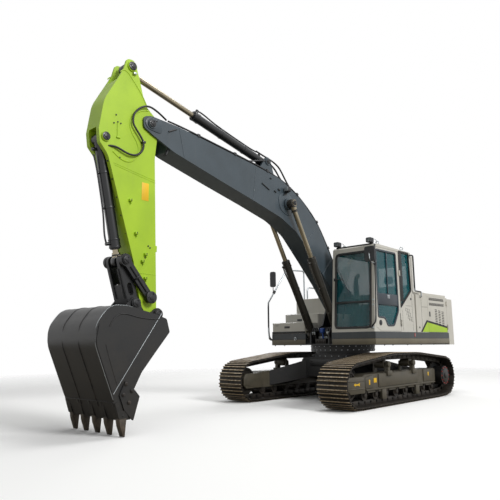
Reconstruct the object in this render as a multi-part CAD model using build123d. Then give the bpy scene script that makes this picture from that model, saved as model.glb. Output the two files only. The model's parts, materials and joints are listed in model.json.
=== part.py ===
from build123d import *
import math
import os

# Crawler excavator of the 22 t class, in millimetres. The origin is on the ground under the slew axis,
# +X points forward along the boom, +Y to the operator's left and +Z up. It is stored parked: tracks and
# house in line, boom half raised, arm hanging and bucket just off the ground.

# ---------------------------------------------------------------- driving dimensions

# Running gear. Circles are measured to the grouser tips.
GAUGE = 2380.0                # centre to centre of the tracks
SHOE_WIDTH = 600.0
IDLER_X, IDLER_Z, IDLER_TIP_R = 1820.0, 400.0, 400.0
SPROCKET_X, SPROCKET_Z, SPROCKET_TIP_R = -1720.0, 425.0, 405.0
CARRIER_X = (560.0, -440.0)
CARRIER_TIP_Z = 940.0
GROUSER_H = 30.0              # height of a shoe's bars
SHOE_T = 14.0                 # thickness of a shoe's plate
LINK_H = 92.0                 # depth of the chain under the shoes
CHAIN_WIDTH = 190.0
SHOE_COUNT = 47
ROLLER_R = 75.0
ROLLER_FLANGE_R = 90.0
ROLLER_COUNT = 8
ROLLER_FIRST_X, ROLLER_LAST_X = 1370.0, -1290.0
CARRIER_R = 75.0
MOTOR_R = 130.0               # travel motor behind the sprocket
FINAL_DRIVE_R = 195.0         # cover of the final drive, outside
FIT = 0.3                     # running gap where two pieces touch on the real machine
CLEAR = 6.0                   # free gap beside a moving piece
TREAD = GROUSER_H + SHOE_T + LINK_H
CARRIER_Z = CARRIER_TIP_Z - TREAD - FIT - CARRIER_R

# Track frame, carbody and slew ring.
FRAME_HALF_WIDTH = 150.0
FRAME_TOP_Z, FRAME_BOTTOM_Z = 575.0, 312.0
FRAME_LIP = 55.0              # how far the side plates reach below the box
FRAME_FRONT_X, FRAME_REAR_X = 1395.0, -1370.0
FRAME_PLATE = 14.0
IDLER_GUARD = 22.0            # the idler's guards stand this far out of the frame's sides
CARBODY_TOP_Z, CARBODY_BOTTOM_Z = 900.0, 455.0
CARBODY_HALF = 620.0
PEDESTAL_R = 640.0
RING_RACE_R = 560.0           # where the inner and the outer race meet
RING_BORE_R = 440.0
RING_OUTER_R = 665.0
RING_LOWER_TOP_Z = 1030.0
RING_UPPER_BOTTOM_Z = 955.0

# House.
DECK_BOTTOM_Z, DECK_TOP_Z = 1090.0, 1330.0
DECK_PLATE = 25.0
HOUSE_HALF_WIDTH = 1365.0
HOUSE_FRONT_X = 990.0
HOUSE_REAR_X = -2260.0        # where the counterweight begins
TAIL_X = -2850.0
SKIRT_T = 40.0
RIGHT_FRONT_X = 690.0
PANEL_TOP_Z = 2110.0
HOOD_TOP_Z = 2170.0
PANEL_T = 25.0
REAR_POST = 40.0              # post between each service door and the counterweight
TANK_TOP_Z, STEP_TOP_Z, TOOL_TOP_Z = 2120.0, 1755.0, 1555.0
HINGE_PIN_R = 8.0
HINGE_KNUCKLE_R = 14.0

# Cab.
CAB_RIGHT_Y, CAB_LEFT_Y = 405.0, 1340.0
CAB_FRONT_X, CAB_REAR_X = 975.0, -700.0
CAB_ROOF_FRONT_X, CAB_ROOF_REAR_X = 840.0, -600.0
CAB_FLOOR_Z, CAB_ROOF_Z = DECK_TOP_Z + FIT, 3000.0
CAB_WALL = 45.0
GLASS_T = 8.0
DOOR_FRONT_X, DOOR_REAR_X = 880.0, -75.0
DOOR_GAP = 6.0

# Working equipment, in the parked pose, as (x, z) of each pin.
BOOM_FOOT = (130.0, 1870.0)
BOOM_TIP = (5250.0, 4395.0)
BOOM_CYL_FOOT = (620.0, 1300.0)
BOOM_CYL_PIN = (2040.0, 3735.0)
ARM_CYL_FOOT = (2480.0, 4500.0)
ARM_CYL_PIN = (5605.0, 5195.0)
BUCKET_CYL_FOOT = (6010.0, 3996.0)
ROCKER_PIN = (5221.0, 1790.0)
LINK_TOP_PIN = (5645.0, 2290.0)
BOOM_ROD_INSIDE = 500.0       # rod left in each barrel in the parked pose
ARM_ROD_INSIDE = 420.0
BUCKET_ROD_INSIDE = 1240.0
LINK_LOW_PIN = (5463.0, 1700.0)
BUCKET_PIN = (5075.0, 1560.0)
BOOM_HALF_WIDTH = 200.0
BOOM_PLATE = 12.0
ARM_HALF_WIDTH = 165.0
ARM_PLATE = 10.0
BOOM_CYL_Y = 318.0
BARREL_R = 75.0
ROD_R = 45.0
EYE_R = 80.0
PIN_R = 42.0
BOOM_ROD_EYE = 60.0           # half widths of the rods' eyes
ARM_ROD_EYE = 60.0
BUCKET_ROD_EYE = 45.0
FOOT_EYE = 75.0               # half width of a barrel's foot
KNUCKLE_FLOOR_Z = 4925.0      # bottom of the slot between the arm's knuckle plates
KNUCKLE_PLATE = 32.0
PIPE_R = 13.0                 # oil pipes on the boom
PIPE_Y = -182.0
TOW_EYE_R = 32.0              # upright hole in the carbody's level tow plate
TOW_EYE_X, TOW_EYE_Z = CARBODY_HALF + 70.0, 560.0
TOW_PLATE_T, TOW_PLATE_R = 40.0, 75.0
MIRROR_STEP = 25.0            # from the cab's side out to the middle of the left mirror
MIRROR_WIDTH, MIRROR_HEIGHT, MIRROR_T = 210.0, 285.0, 35.0
POLE_MIRROR_WIDTH, POLE_MIRROR_HEIGHT = 145.0, 345.0
RAIL_R = 17.0
RAIL_OVERHANG, RAIL_INSET = 40.0, 60.0    # front rail outside the skirt, then inside its face
RAIL_KNEE = (RIGHT_FRONT_X + 68, -HOUSE_HALF_WIDTH - RAIL_OVERHANG, TANK_TOP_Z - 103)
RAIL_BROW = (210.0, -HOUSE_HALF_WIDTH + RAIL_INSET, TANK_TOP_Z + 670)
PIN_FIT = 0.1                 # radial gap of a pin in its eye
ROD_FIT = 0.3                 # radial gap of a rod in its barrel
BUCKET_HALF_WIDTH = 590.0
BUCKET_PLATE = 22.0
TOOTH_INSET = 40.0            # from a cheek's outer face to the middle of the end tooth
TOOTH_TIP_Z = 4.0
BUCKET_LIP_Z = 205.0
BUCKET_ROLL_R = 375.0
TOOTH_COUNT = 5


# ---------------------------------------------------------------- small helpers

def side_sketch(y):
    """Work plane whose local (x, y) is the machine's (X, Z), at the given Y."""
    return Plane((0, y, 0), x_dir=(1, 0, 0), z_dir=(0, -1, 0))


def slab(sketch, y_low, y_high):
    """Extrudes a side-view sketch between two Y values."""
    return extrude(side_sketch(y_high) * sketch, amount=y_high - y_low, dir=(0, -1, 0))


def outline(*points):
    """Closed side-view polygon through (x, z) points."""
    return Polygon(*points, align=None)


def rounded(*corners):
    """Closed side view through (x, z, corner radius) corners."""
    ends = []
    for k, (x, z, radius) in enumerate(corners):
        corner = Vector(x, z)
        back = Vector(*corners[k - 1][:2]) - corner
        ahead = Vector(*corners[(k + 1) % len(corners)][:2]) - corner
        room = 0.48 * min(back.length, ahead.length)
        back, ahead = back.normalized(), ahead.normalized()
        half = math.acos(max(-1.0, min(1.0, back.dot(ahead)))) / 2
        if radius <= 0 or half > math.radians(89.5):
            ends.append((corner, None, corner))
            continue
        run = min(radius / math.tan(half), room)
        radius = run * math.tan(half)
        inward = (back + ahead).normalized()
        middle = corner + inward * (radius / math.sin(half) - radius)
        ends.append((corner + back * run, middle, corner + ahead * run))
    edges = []
    for k, (start, middle, end) in enumerate(ends):
        if middle is not None:
            edges.append(ThreePointArc(start, middle, end))
        edges.append(Line(end, ends[(k + 1) % len(ends)][0]))
    return make_face(edges)


def hull_of(*circles):
    """Side view of a belt drawn round (x, z, radius) circles."""
    edges = []
    for x, z, radius in circles:
        edges += (Pos(x, z) * Circle(radius)).edges()
    return make_hull(edges)


def shell_box(low, high, skin, radius, open_bottom=False):
    """Sheet box with rounded upright corners, hollow inside."""
    outer = fillet(box(low, high).edges().filter_by(Axis.Z), radius)
    low_in = [a + skin for a in low]
    high_in = [b - skin for b in high]
    if open_bottom:
        low_in[2] = low[2] - 1
    return outer - fillet(box(low_in, high_in).edges().filter_by(Axis.Z), radius - skin)


def pan(low, high, axis, outer, skin=4.0):
    """Sheet-metal panel: a box hollowed from the inner side, leaving a skin and a folded rim."""
    low_in = [a + skin for a in low]
    high_in = [b - skin for b in high]
    if outer > 0:
        low_in[axis] = low[axis] - 1
        high_in[axis] = high[axis] - skin
    else:
        low_in[axis] = low[axis] + skin
        high_in[axis] = high[axis] + 1
    return box(low, high) - box(low_in, high_in)


def box(low, high):
    """Box between two corners."""
    size = [b - a for a, b in zip(low, high)]
    return Pos(*low) * Box(*size, align=(Align.MIN, Align.MIN, Align.MIN))


def rod_y(x, z, radius, y_low, y_high):
    """Cylinder along Y."""
    return slab(Pos(x, z) * Circle(radius), y_low, y_high)


def tube_y(x, z, outer, inner, y_low, y_high):
    """Ring along Y."""
    return slab(Pos(x, z) * (Circle(outer) - Circle(inner)), y_low, y_high)


def rod_between(a, b, radius, y):
    """Cylinder from (x, z) point a to b in the plane of the given Y."""
    start = Vector(a[0], y, a[1])
    along = Vector(b[0], y, b[1]) - start
    return Plane(origin=start, z_dir=along) * Cylinder(
        radius, along.length, align=(Align.CENTER, Align.CENTER, Align.MIN)
    )


def toward(a, b, distance):
    """The (x, z) point at a distance from a towards b."""
    length = math.dist(a, b)
    return tuple(p + (q - p) * distance / length for p, q in zip(a, b))


def pair(shape):
    """A shape and its mirror image across the centre plane."""
    return [shape, mirror(shape, Plane.XZ)]


def pipe(points, radius, bend):
    """Round bar along straight runs joined by arcs."""
    path = FilletPolyline(*points, radius=bend)
    start = path @ 0
    section = Plane(origin=start, z_dir=path % 0) * Circle(radius)
    return sweep(section, path=path)


def save(name, *shapes):
    """Writes one node from its separate solids."""
    solids = [s for shape in shapes for s in shape.solids()]
    export_step(Compound(solids) if len(solids) > 1 else solids[0], f"parts/{name}.step")


# ---------------------------------------------------------------- running gear

def circle_hull(inset):
    """Side view of the track's loop, taken in from the grouser tips by inset."""
    circles = [(IDLER_X, IDLER_Z, IDLER_TIP_R), (SPROCKET_X, SPROCKET_Z, SPROCKET_TIP_R)]
    circles += [(x, CARRIER_TIP_Z - 200, 200) for x in CARRIER_X]
    circles += [(x, 200, 200) for x in (ROLLER_FIRST_X, ROLLER_LAST_X)]
    edges = [(Pos(x, z) * Circle(r - inset)).edges() for x, z, r in circles]
    return make_hull([e for group in edges for e in group])


def track(centre_y):
    """One track: the shoes' loop with the narrower chain inside it."""
    plate_inset = GROUSER_H
    shoes = circle_hull(plate_inset) - circle_hull(plate_inset + SHOE_T)
    chain = circle_hull(plate_inset + SHOE_T) - circle_hull(plate_inset + SHOE_T + LINK_H)
    bars = shoe_bars()
    loop = slab(shoes + bars, centre_y - SHOE_WIDTH / 2, centre_y + SHOE_WIDTH / 2)
    return loop + slab(chain, centre_y - CHAIN_WIDTH / 2, centre_y + CHAIN_WIDTH / 2)


def shoe_bars():
    """Side view of two bars on each shoe, standing on the plates around the loop."""
    wire = circle_hull(GROUSER_H + SHOE_T / 2).face().outer_wire()
    bars = []
    for k in range(SHOE_COUNT):
        for share in (0.16, 0.66):
            t = ((k + share) / SHOE_COUNT) % 1
            foot = wire.position_at(t)
            along = wire.tangent_at(t)
            out = Vector(along.Y, -along.X)
            if out.dot(foot - Vector((IDLER_X + SPROCKET_X) / 2, CARRIER_TIP_Z / 2)) < 0:
                out = -out
            half = along * 13
            tip = along * 7
            top = foot + out * (GROUSER_H + SHOE_T / 2 - 1)
            bars.append(outline(*[(p.X, p.Y) for p in (foot - half, foot + half, top + tip, top - tip)]))
    return bars


def track_frame(centre_y):
    """One track frame: box beam with side lips, idler yoke, motor plate and roller posts."""
    front, rear = FRAME_FRONT_X + 150, FRAME_REAR_X - 72
    side = outline(
        (rear, FRAME_BOTTOM_Z + 30), (FRAME_REAR_X, FRAME_BOTTOM_Z), (FRAME_FRONT_X, FRAME_BOTTOM_Z),
        (front, FRAME_BOTTOM_Z + 10), (front, FRAME_TOP_Z - 50), (FRAME_FRONT_X, FRAME_TOP_Z),
        (FRAME_REAR_X, FRAME_TOP_Z + 10), (rear, FRAME_TOP_Z - 20),
    )
    w = FRAME_HALF_WIDTH
    beam = slab(side, centre_y - w, centre_y + w)
    beam -= slab(offset(side, -FRAME_PLATE), centre_y - w + FRAME_PLATE, centre_y + w - FRAME_PLATE)
    inboard = -1 if centre_y > 0 else 1
    for side_y in (-1, 1):
        outer = centre_y + side_y * w
        low, high = sorted((outer, outer - side_y * FRAME_PLATE))
        beam += box((FRAME_REAR_X, low, FRAME_BOTTOM_Z - FRAME_LIP), (FRAME_FRONT_X, high, FRAME_BOTTOM_Z + 5))
        guard = outline((FRAME_FRONT_X + 35, IDLER_Z - 138), (IDLER_X + 80, IDLER_Z - 138), (IDLER_X + 170, IDLER_Z - 70),
                        (IDLER_X + 170, IDLER_Z + 70), (IDLER_X + 100, IDLER_Z + 145), (FRAME_FRONT_X + 35, IDLER_Z + 145))
        low, high = sorted((outer + side_y * IDLER_GUARD, outer - side_y * 25))
        beam += slab(guard, low, high)
    plate = outline((rear + 10, FRAME_BOTTOM_Z + 30), (SPROCKET_X - 130, SPROCKET_Z - 160),
                    (SPROCKET_X - 190, SPROCKET_Z), (SPROCKET_X - 130, SPROCKET_Z + 160), (rear + 10, FRAME_TOP_Z - 20))
    low, high = sorted((centre_y + inboard * w, centre_y + inboard * (w - 25)))
    beam += slab(plate, low, high)
    beam -= rod_y(SPROCKET_X, SPROCKET_Z, MOTOR_R + FIT, low - 1, high + 1)
    for x in CARRIER_X:
        post = outline((x - 60, FRAME_TOP_Z - 5), (x + 60, FRAME_TOP_Z - 5), (x + 38, CARRIER_Z + 35),
                       (x - 38, CARRIER_Z + 35))
        beam += slab(post, centre_y - 135, centre_y - 105) + slab(post, centre_y + 105, centre_y + 135)
    return beam


def carbody():
    """Centre box with four legs to the track frames and the ring's pedestal."""
    inner = GAUGE / 2 - FRAME_HALF_WIDTH - FIT
    centre = box((-CARBODY_HALF, -CARBODY_HALF + 40, CARBODY_BOTTOM_Z),
                 (CARBODY_HALF, CARBODY_HALF - 40, CARBODY_TOP_Z - 60))
    body = centre + Pos(0, 0, CARBODY_TOP_Z - 62) * Cylinder(
        PEDESTAL_R, 62, align=(Align.CENTER, Align.CENTER, Align.MIN))
    for sx in (-1, 1):
        for sy in (-1, 1):
            root = Plane((sx * 330, sy * 520, 645), x_dir=(0, 0, 1), z_dir=(sx * 0.75, sy, 0)) * Rectangle(380, 420)
            end = Plane((sx * 900, sy * inner, 430), x_dir=(0, 0, 1), z_dir=(0, sy, 0)) * Rectangle(290, 560)
            body += loft([root, end])
    hollow = box((-CARBODY_HALF + 30, -CARBODY_HALF + 70, CARBODY_BOTTOM_Z - 1),
                 (CARBODY_HALF - 30, CARBODY_HALF - 70, CARBODY_TOP_Z - 85))
    eye = Pos((CARBODY_HALF - 5 + TOW_EYE_X) / 2, 0) * Rectangle(TOW_EYE_X - CARBODY_HALF + 5, 2 * TOW_PLATE_R)
    eye = eye + Pos(TOW_EYE_X, 0) * Circle(TOW_PLATE_R) - Pos(TOW_EYE_X, 0) * Circle(TOW_EYE_R)
    body += Pos(0, 0, TOW_EYE_Z - TOW_PLATE_T / 2) * extrude(eye, amount=TOW_PLATE_T, dir=(0, 0, 1))
    return body - hollow - Pos(0, 0, CARBODY_BOTTOM_Z) * Cylinder(
        RING_BORE_R - 60, CARBODY_TOP_Z, align=(Align.CENTER, Align.CENTER, Align.MIN))


def running_gear():
    """Tracks, frames, idlers, sprockets, rollers, carbody and the ring's lower race."""
    for name, sign in (("left", 1), ("right", -1)):
        save(f"track_{name}", track(sign * GAUGE / 2))
    centres = (GAUGE / 2, -GAUGE / 2)
    save("track_frames", *[track_frame(y) for y in centres])
    save("carbody", carbody())
    rim = IDLER_TIP_R - TREAD - FIT
    hub = FRAME_HALF_WIDTH - 25 - FIT
    save("idlers", *[rod_y(IDLER_X, IDLER_Z, rim, y - 80, y + 80)
                     + rod_y(IDLER_X, IDLER_Z, 60, y - hub, y + hub) for y in centres])
    save("sprockets", *[sprocket(y) for y in centres])
    step = (ROLLER_LAST_X - ROLLER_FIRST_X) / (ROLLER_COUNT - 1)
    rollers = []
    for y in centres:
        for k in range(ROLLER_COUNT):
            rollers.append(bottom_roller(ROLLER_FIRST_X + k * step, TREAD + FIT + ROLLER_R, y))
    save("track_rollers", *rollers)
    carriers = []
    for y in centres:
        for x in CARRIER_X:
            carriers.append(rod_y(x, CARRIER_Z, CARRIER_R, y - 95, y + 95)
                            + rod_y(x, CARRIER_Z, 28, y - 105 + FIT, y + 105 - FIT))
    save("carrier_rollers", *carriers)
    lower = Cylinder(RING_RACE_R - FIT / 2, RING_LOWER_TOP_Z - CARBODY_TOP_Z) - Cylinder(
        RING_BORE_R, RING_LOWER_TOP_Z)
    save("slew_ring_lower", Pos(0, 0, (RING_LOWER_TOP_Z + CARBODY_TOP_Z) / 2) * lower)


def bottom_roller(x, z, y):
    """Double-flanged roller whose ends reach its two brackets under the frame."""
    body = rod_y(x, z, ROLLER_R, y - 95, y + 95) + rod_y(x, z, 30, y - 130, y + 130)
    for side_y in (-1, 1):
        low, high = sorted((y + side_y * 97, y + side_y * 117))
        body += rod_y(x, z, ROLLER_FLANGE_R, low, high)
        low, high = sorted((y + side_y * 121, y + side_y * (FRAME_HALF_WIDTH - FRAME_PLATE - FIT)))
        body += box((x - 50, low, z - 35), (x + 50, high, FRAME_BOTTOM_Z - FIT))
    return body


def sprocket(y):
    """Toothed rim with the travel motor inside and the final drive's cover outside."""
    rim = SPROCKET_TIP_R - TREAD - FIT
    body = rod_y(SPROCKET_X, SPROCKET_Z, rim, y - 35, y + 35)
    sign = 1 if y > 0 else -1
    low, high = sorted((y, y + sign * 250))
    body += rod_y(SPROCKET_X, SPROCKET_Z, FINAL_DRIVE_R, low, high)
    low, high = sorted((y, y - sign * 210))
    body += rod_y(SPROCKET_X, SPROCKET_Z, MOTOR_R, low, high)
    return body


# ---------------------------------------------------------------- house

def house_frame():
    """Deck plate on the ring, boom brackets and the cylinder lugs."""
    deck = box((HOUSE_REAR_X, -HOUSE_HALF_WIDTH + SKIRT_T + FIT, DECK_TOP_Z - 90),
               (RIGHT_FRONT_X - 60, HOUSE_HALF_WIDTH - SKIRT_T - FIT, DECK_TOP_Z - 90 + DECK_PLATE))
    deck += box((0, CAB_RIGHT_Y, DECK_TOP_Z - 90), (HOUSE_FRONT_X - SKIRT_T - FIT, HOUSE_HALF_WIDTH - SKIRT_T - FIT,
                                                     DECK_TOP_Z - 90 + DECK_PLATE))
    deck += box((HOUSE_REAR_X, -HOUSE_HALF_WIDTH / 2, DECK_BOTTOM_Z), (820, CAB_RIGHT_Y, DECK_BOTTOM_Z + DECK_PLATE))
    deck -= box((380, -BOOM_CYL_Y - 90, DECK_BOTTOM_Z + DECK_PLATE + 5), (1500, BOOM_CYL_Y + 85, DECK_TOP_Z))
    deck -= box((560, -HOUSE_HALF_WIDTH, DECK_BOTTOM_Z - 1), (1500, -440, DECK_BOTTOM_Z + DECK_PLATE + 5))
    deck -= Pos(0, 0, DECK_BOTTOM_Z) * Cylinder(RING_BORE_R, 80)
    inner = BOOM_HALF_WIDTH + CLEAR
    side = outline((HOUSE_REAR_X, DECK_BOTTOM_Z + 5), (830, DECK_BOTTOM_Z + 5), (830, 1330), (700, 1400), (400, 1500),
                   (250, 1850), (180, 1960), (60, 1960), (-60, 1850), (-700, 1480), (-1250, DECK_TOP_Z - 65),
                   (HOUSE_REAR_X, DECK_TOP_Z - 65))
    for low, high in ((inner, inner + 30), (-inner - 30, -inner)):
        deck += slab(side, low, high)
        deck += rod_y(*BOOM_FOOT, 95, low - 0, high + 0)
    for low, high in ((inner + 29, BOOM_CYL_Y + 76), (-BOOM_CYL_Y - 76, -inner - 29)):
        deck += rod_y(*BOOM_CYL_FOOT, PIN_R, low, high)
    return deck + rod_y(*BOOM_FOOT, PIN_R, -inner - 55, inner + 55)


def skirts():
    """Dark band round the deck: left, cab front, right and right front."""
    z0, z1 = DECK_BOTTOM_Z, DECK_TOP_Z
    w, t = HOUSE_HALF_WIDTH, SKIRT_T
    left = box((HOUSE_REAR_X, w - t, z0), (HOUSE_FRONT_X, w, z1))
    left += box((HOUSE_FRONT_X - t, CAB_RIGHT_Y, z0), (HOUSE_FRONT_X, w, z1))
    right = box((HOUSE_REAR_X, -w, z0), (RIGHT_FRONT_X, -w + t, z1))
    right += box((RIGHT_FRONT_X - t, -w, z0), (RIGHT_FRONT_X, -450, z1))
    return left, right


def ring_upper():
    """Outer race of the slew ring, bolted under the deck."""
    height = DECK_BOTTOM_Z - RING_UPPER_BOTTOM_Z
    race = Cylinder(RING_OUTER_R, height) - Cylinder(RING_RACE_R + FIT / 2, height + 1)
    return Pos(0, 0, RING_UPPER_BOTTOM_Z + height / 2) * race


def counterweight():
    """Hollow casting with a rounded tail, between the two side doors."""
    w = HOUSE_HALF_WIDTH - 5
    plan = Polyline((HOUSE_REAR_X - FIT, -w), (TAIL_X + 330, -w))
    corner = ThreePointArc((TAIL_X + 330, -w), (TAIL_X + 90, -w + 160), (TAIL_X, -w + 480))
    back = Line((TAIL_X, -w + 480), (TAIL_X, w - 480))
    other = ThreePointArc((TAIL_X, w - 480), (TAIL_X + 90, w - 160), (TAIL_X + 330, w))
    close = Polyline((TAIL_X + 330, w), (HOUSE_REAR_X - FIT, w), (HOUSE_REAR_X - FIT, -w))
    shape = make_face([*plan.edges(), corner, back, other, *close.edges()])
    z0, z1 = DECK_BOTTOM_Z - 20, PANEL_TOP_Z - 20
    body = extrude(Plane((0, 0, z0)) * shape, amount=z1 - z0)
    wall = 80
    inside = extrude(Plane((0, 0, z0 + wall)) * offset(shape, -wall), amount=z1 - z0 - 2 * wall)
    return body - inside


def engine_bay():
    """Fixed side panels, engine block, tank, boxes and covers; returns the right-hand post."""
    w, t = HOUSE_HALF_WIDTH - 5, PANEL_T
    z0 = DECK_TOP_Z + FIT
    left = box((-1255, w - t, z0), (CAB_REAR_X - 15, w, PANEL_TOP_Z))
    left += box((CAB_REAR_X - 15 - t, 420, z0), (CAB_REAR_X - 15, w, PANEL_TOP_Z))
    save("left_rear_panel", left)
    right_post = box((-1255, -w, z0), (-1165, -w + t, PANEL_TOP_Z))
    save("engine_block", box((-1960, -350, DECK_TOP_Z - 65 + FIT), (-1350, 450, 1850)))
    save("fuel_tank", shell_box((-1160, -w, z0), (-160, -420, TANK_TOP_Z), 6, 60))
    save("storage_boxes", shell_box((-155, -w, z0), (240, -430, STEP_TOP_Z), 5, 40),
         shell_box((245, -w, z0), (RIGHT_FRONT_X, -450, TOOL_TOP_Z), 5, 40))
    muffler = box((-1010, 640, HOOD_TOP_Z + FIT), (-740, 1180, HOOD_TOP_Z + 150))
    muffler = fillet(muffler.edges().filter_by(Axis.Z), 60)
    muffler = fillet(muffler.edges().group_by(Axis.Z)[-1], 45)
    save("intake_cover", muffler)
    stack = Pos(-930, -180, HOOD_TOP_Z + FIT) * Cylinder(62, 250, align=(Align.CENTER, Align.CENTER, Align.MIN))
    stack += pipe([(-930, -180, HOOD_TOP_Z + 240), (-930, -180, HOOD_TOP_Z + 420), (-1040, -180, HOOD_TOP_Z + 500)], 48, 80)
    save("exhaust_stack", stack)
    return right_post


def hood():
    """Fixed front cover of the engine bay and the hood hinged on it: (cover, hood)."""
    w = HOUSE_HALF_WIDTH - 30
    skin = 5
    split = -1171.5
    cover = box((split + 3.5, -418, PANEL_TOP_Z + FIT), (CAB_REAR_X - 20, w, HOOD_TOP_Z))
    cover -= box((split + 3.5 + skin, -418 + skin, PANEL_TOP_Z - 5), (CAB_REAR_X - 20 - skin, w - skin, HOOD_TOP_Z - skin))
    outer = box((HOUSE_REAR_X + 12, -w, PANEL_TOP_Z + 6), (split - 3.5, w, HOOD_TOP_Z))
    outer = fillet(outer.edges().group_by(Axis.Z)[-1], 12)
    inner = box((HOUSE_REAR_X + 12 + skin, -w + skin, PANEL_TOP_Z), (split - 3.5 - skin, w - skin, HOOD_TOP_Z - skin))
    lid = outer - inner
    z = HOOD_TOP_Z + HINGE_KNUCKLE_R + 1
    for y in (-300, 850):
        cover += rod_y(split, z, HINGE_PIN_R, y - 54, y + 54)
        for lug_y in (y - 44, y + 44):
            cover += rod_y(split, z, HINGE_KNUCKLE_R, lug_y - 10, lug_y + 10)
            cover += box((split, lug_y - 10, z - 19), (split + 22, lug_y + 10, z + 5))
        eye = rod_y(split, z, HINGE_KNUCKLE_R, y - 33, y + 33)
        eye += box((split - 24, y - 33, z - 19), (split, y + 33, z + 5))
        lid += eye - rod_y(split, z, HINGE_PIN_R + PIN_FIT, y - 34, y + 34)
    return cover, lid


def service_hinge():
    """(x, y) of the left service door's hinge line."""
    return HOUSE_REAR_X + REAR_POST + 3, HOUSE_HALF_WIDTH - 5 + HINGE_KNUCKLE_R + 1


def knuckles(x, y, heights, fixed_to, hung_to, inward):
    """Upright door hinges: (fixed lugs with their pins, swinging knuckles).

    fixed_to and hung_to are the x offsets the lugs and the knuckles reach to, and inward is how far
    both reach back in y to meet their panels.
    """
    fixed, hung = [], []
    for z in heights:
        lugs = Pos(x, y, z) * Cylinder(HINGE_PIN_R, 108)
        tab_low, tab_high = sorted((x, x + fixed_to))
        for lug_z in (z - 44, z + 44):
            lugs += Pos(x, y, lug_z) * Cylinder(HINGE_KNUCKLE_R, 20)
            lugs += box((tab_low, y - inward, lug_z - 10), (tab_high, y + 5, lug_z + 10))
        fixed.append(lugs)
        tab_low, tab_high = sorted((x, x + hung_to))
        eye = Pos(x, y, z) * Cylinder(HINGE_KNUCKLE_R, 66)
        eye += box((tab_low, y - inward, z - 33), (tab_high, y + 5, z + 33))
        hung.append(eye - Pos(x, y, z) * Cylinder(HINGE_PIN_R + PIN_FIT, 70))
    return fixed, hung


def service_doors():
    """Left and right rear doors over the radiator and the pump, and the posts that carry them."""
    w, t = HOUSE_HALF_WIDTH - 5, PANEL_T
    post = box((HOUSE_REAR_X, w - t - 15, DECK_TOP_Z + FIT), (HOUSE_REAR_X + REAR_POST, w, PANEL_TOP_Z))
    door = pan((HOUSE_REAR_X + REAR_POST + 6, w - t, DECK_TOP_Z + 6), (-1261, w, PANEL_TOP_Z), 1, 1)
    fixed, hung = knuckles(*service_hinge(), (DECK_TOP_Z + 130, PANEL_TOP_Z - 130), -20, 22, 20)
    for lug in fixed:
        post += lug
    for eye in hung:
        door += eye
    return post, door


# ---------------------------------------------------------------- cab

def cab_side():
    """Side view of the cab's outer skin."""
    return outline((CAB_FRONT_X, CAB_FLOOR_Z), (CAB_ROOF_FRONT_X, CAB_ROOF_Z - 40), (CAB_ROOF_FRONT_X - 60, CAB_ROOF_Z),
                   (CAB_ROOF_REAR_X, CAB_ROOF_Z - 25), (CAB_REAR_X - 5, CAB_ROOF_Z - 110), (CAB_REAR_X, CAB_FLOOR_Z))


def door_side(grow=0.0):
    """Side view of the cab door, grown by the gap for its opening."""
    shape = outline((DOOR_FRONT_X + 5, 1420), (DOOR_FRONT_X - 85, 2935), (DOOR_REAR_X, 2935), (DOOR_REAR_X, 1345),
                    (DOOR_REAR_X + 520, 1345), (DOOR_REAR_X + 800, 1345))
    return offset(shape, grow) if grow else shape


def cab_shell():
    """Hollow cab with its door opening and window openings cut."""
    skin = slab(cab_side(), CAB_RIGHT_Y, CAB_LEFT_Y)
    skin = fillet(skin.edges().filter_by(Axis.Y).group_by(Axis.Z)[-1], 30)
    skin -= slab(offset(cab_side(), -CAB_WALL), CAB_RIGHT_Y + CAB_WALL, CAB_LEFT_Y - CAB_WALL)
    skin -= slab(door_side(DOOR_GAP), CAB_LEFT_Y - CAB_WALL - 5, CAB_LEFT_Y + 5)
    for low, high, window in side_windows():
        skin -= slab(window, low, high)
    skin -= box((CAB_ROOF_FRONT_X - 120, CAB_RIGHT_Y + 70, 1400), (CAB_FRONT_X + 50, CAB_LEFT_Y - 70, 2870))
    skin -= box((CAB_REAR_X - 60, CAB_RIGHT_Y + 120, 2150), (CAB_REAR_X + 100, CAB_LEFT_Y - 120, 2800))
    return skin


def side_windows():
    """The fixed side windows, as (low Y, high Y, side view)."""
    rear = outline((-130, 2930), (-520, 2930), (-560, 2180), (-130, 1850))
    right = outline((780, 2880), (-520, 2880), (-560, 1700), (860, 1700))
    return ((CAB_LEFT_Y - CAB_WALL - 5, CAB_LEFT_Y + 5, rear), (CAB_RIGHT_Y - 5, CAB_RIGHT_Y + CAB_WALL + 5, right))


def door_window():
    """Side view of the door's glass."""
    return outline((800, 2890), (25, 2890), (5, 1745), (205, 1450), (470, 1440), (560, 1590), (820, 1600))


def cab_hinge():
    """(x, y) of the cab door's hinge line."""
    return DOOR_REAR_X - DOOR_GAP / 2, CAB_LEFT_Y + HINGE_KNUCKLE_R + 1


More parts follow.
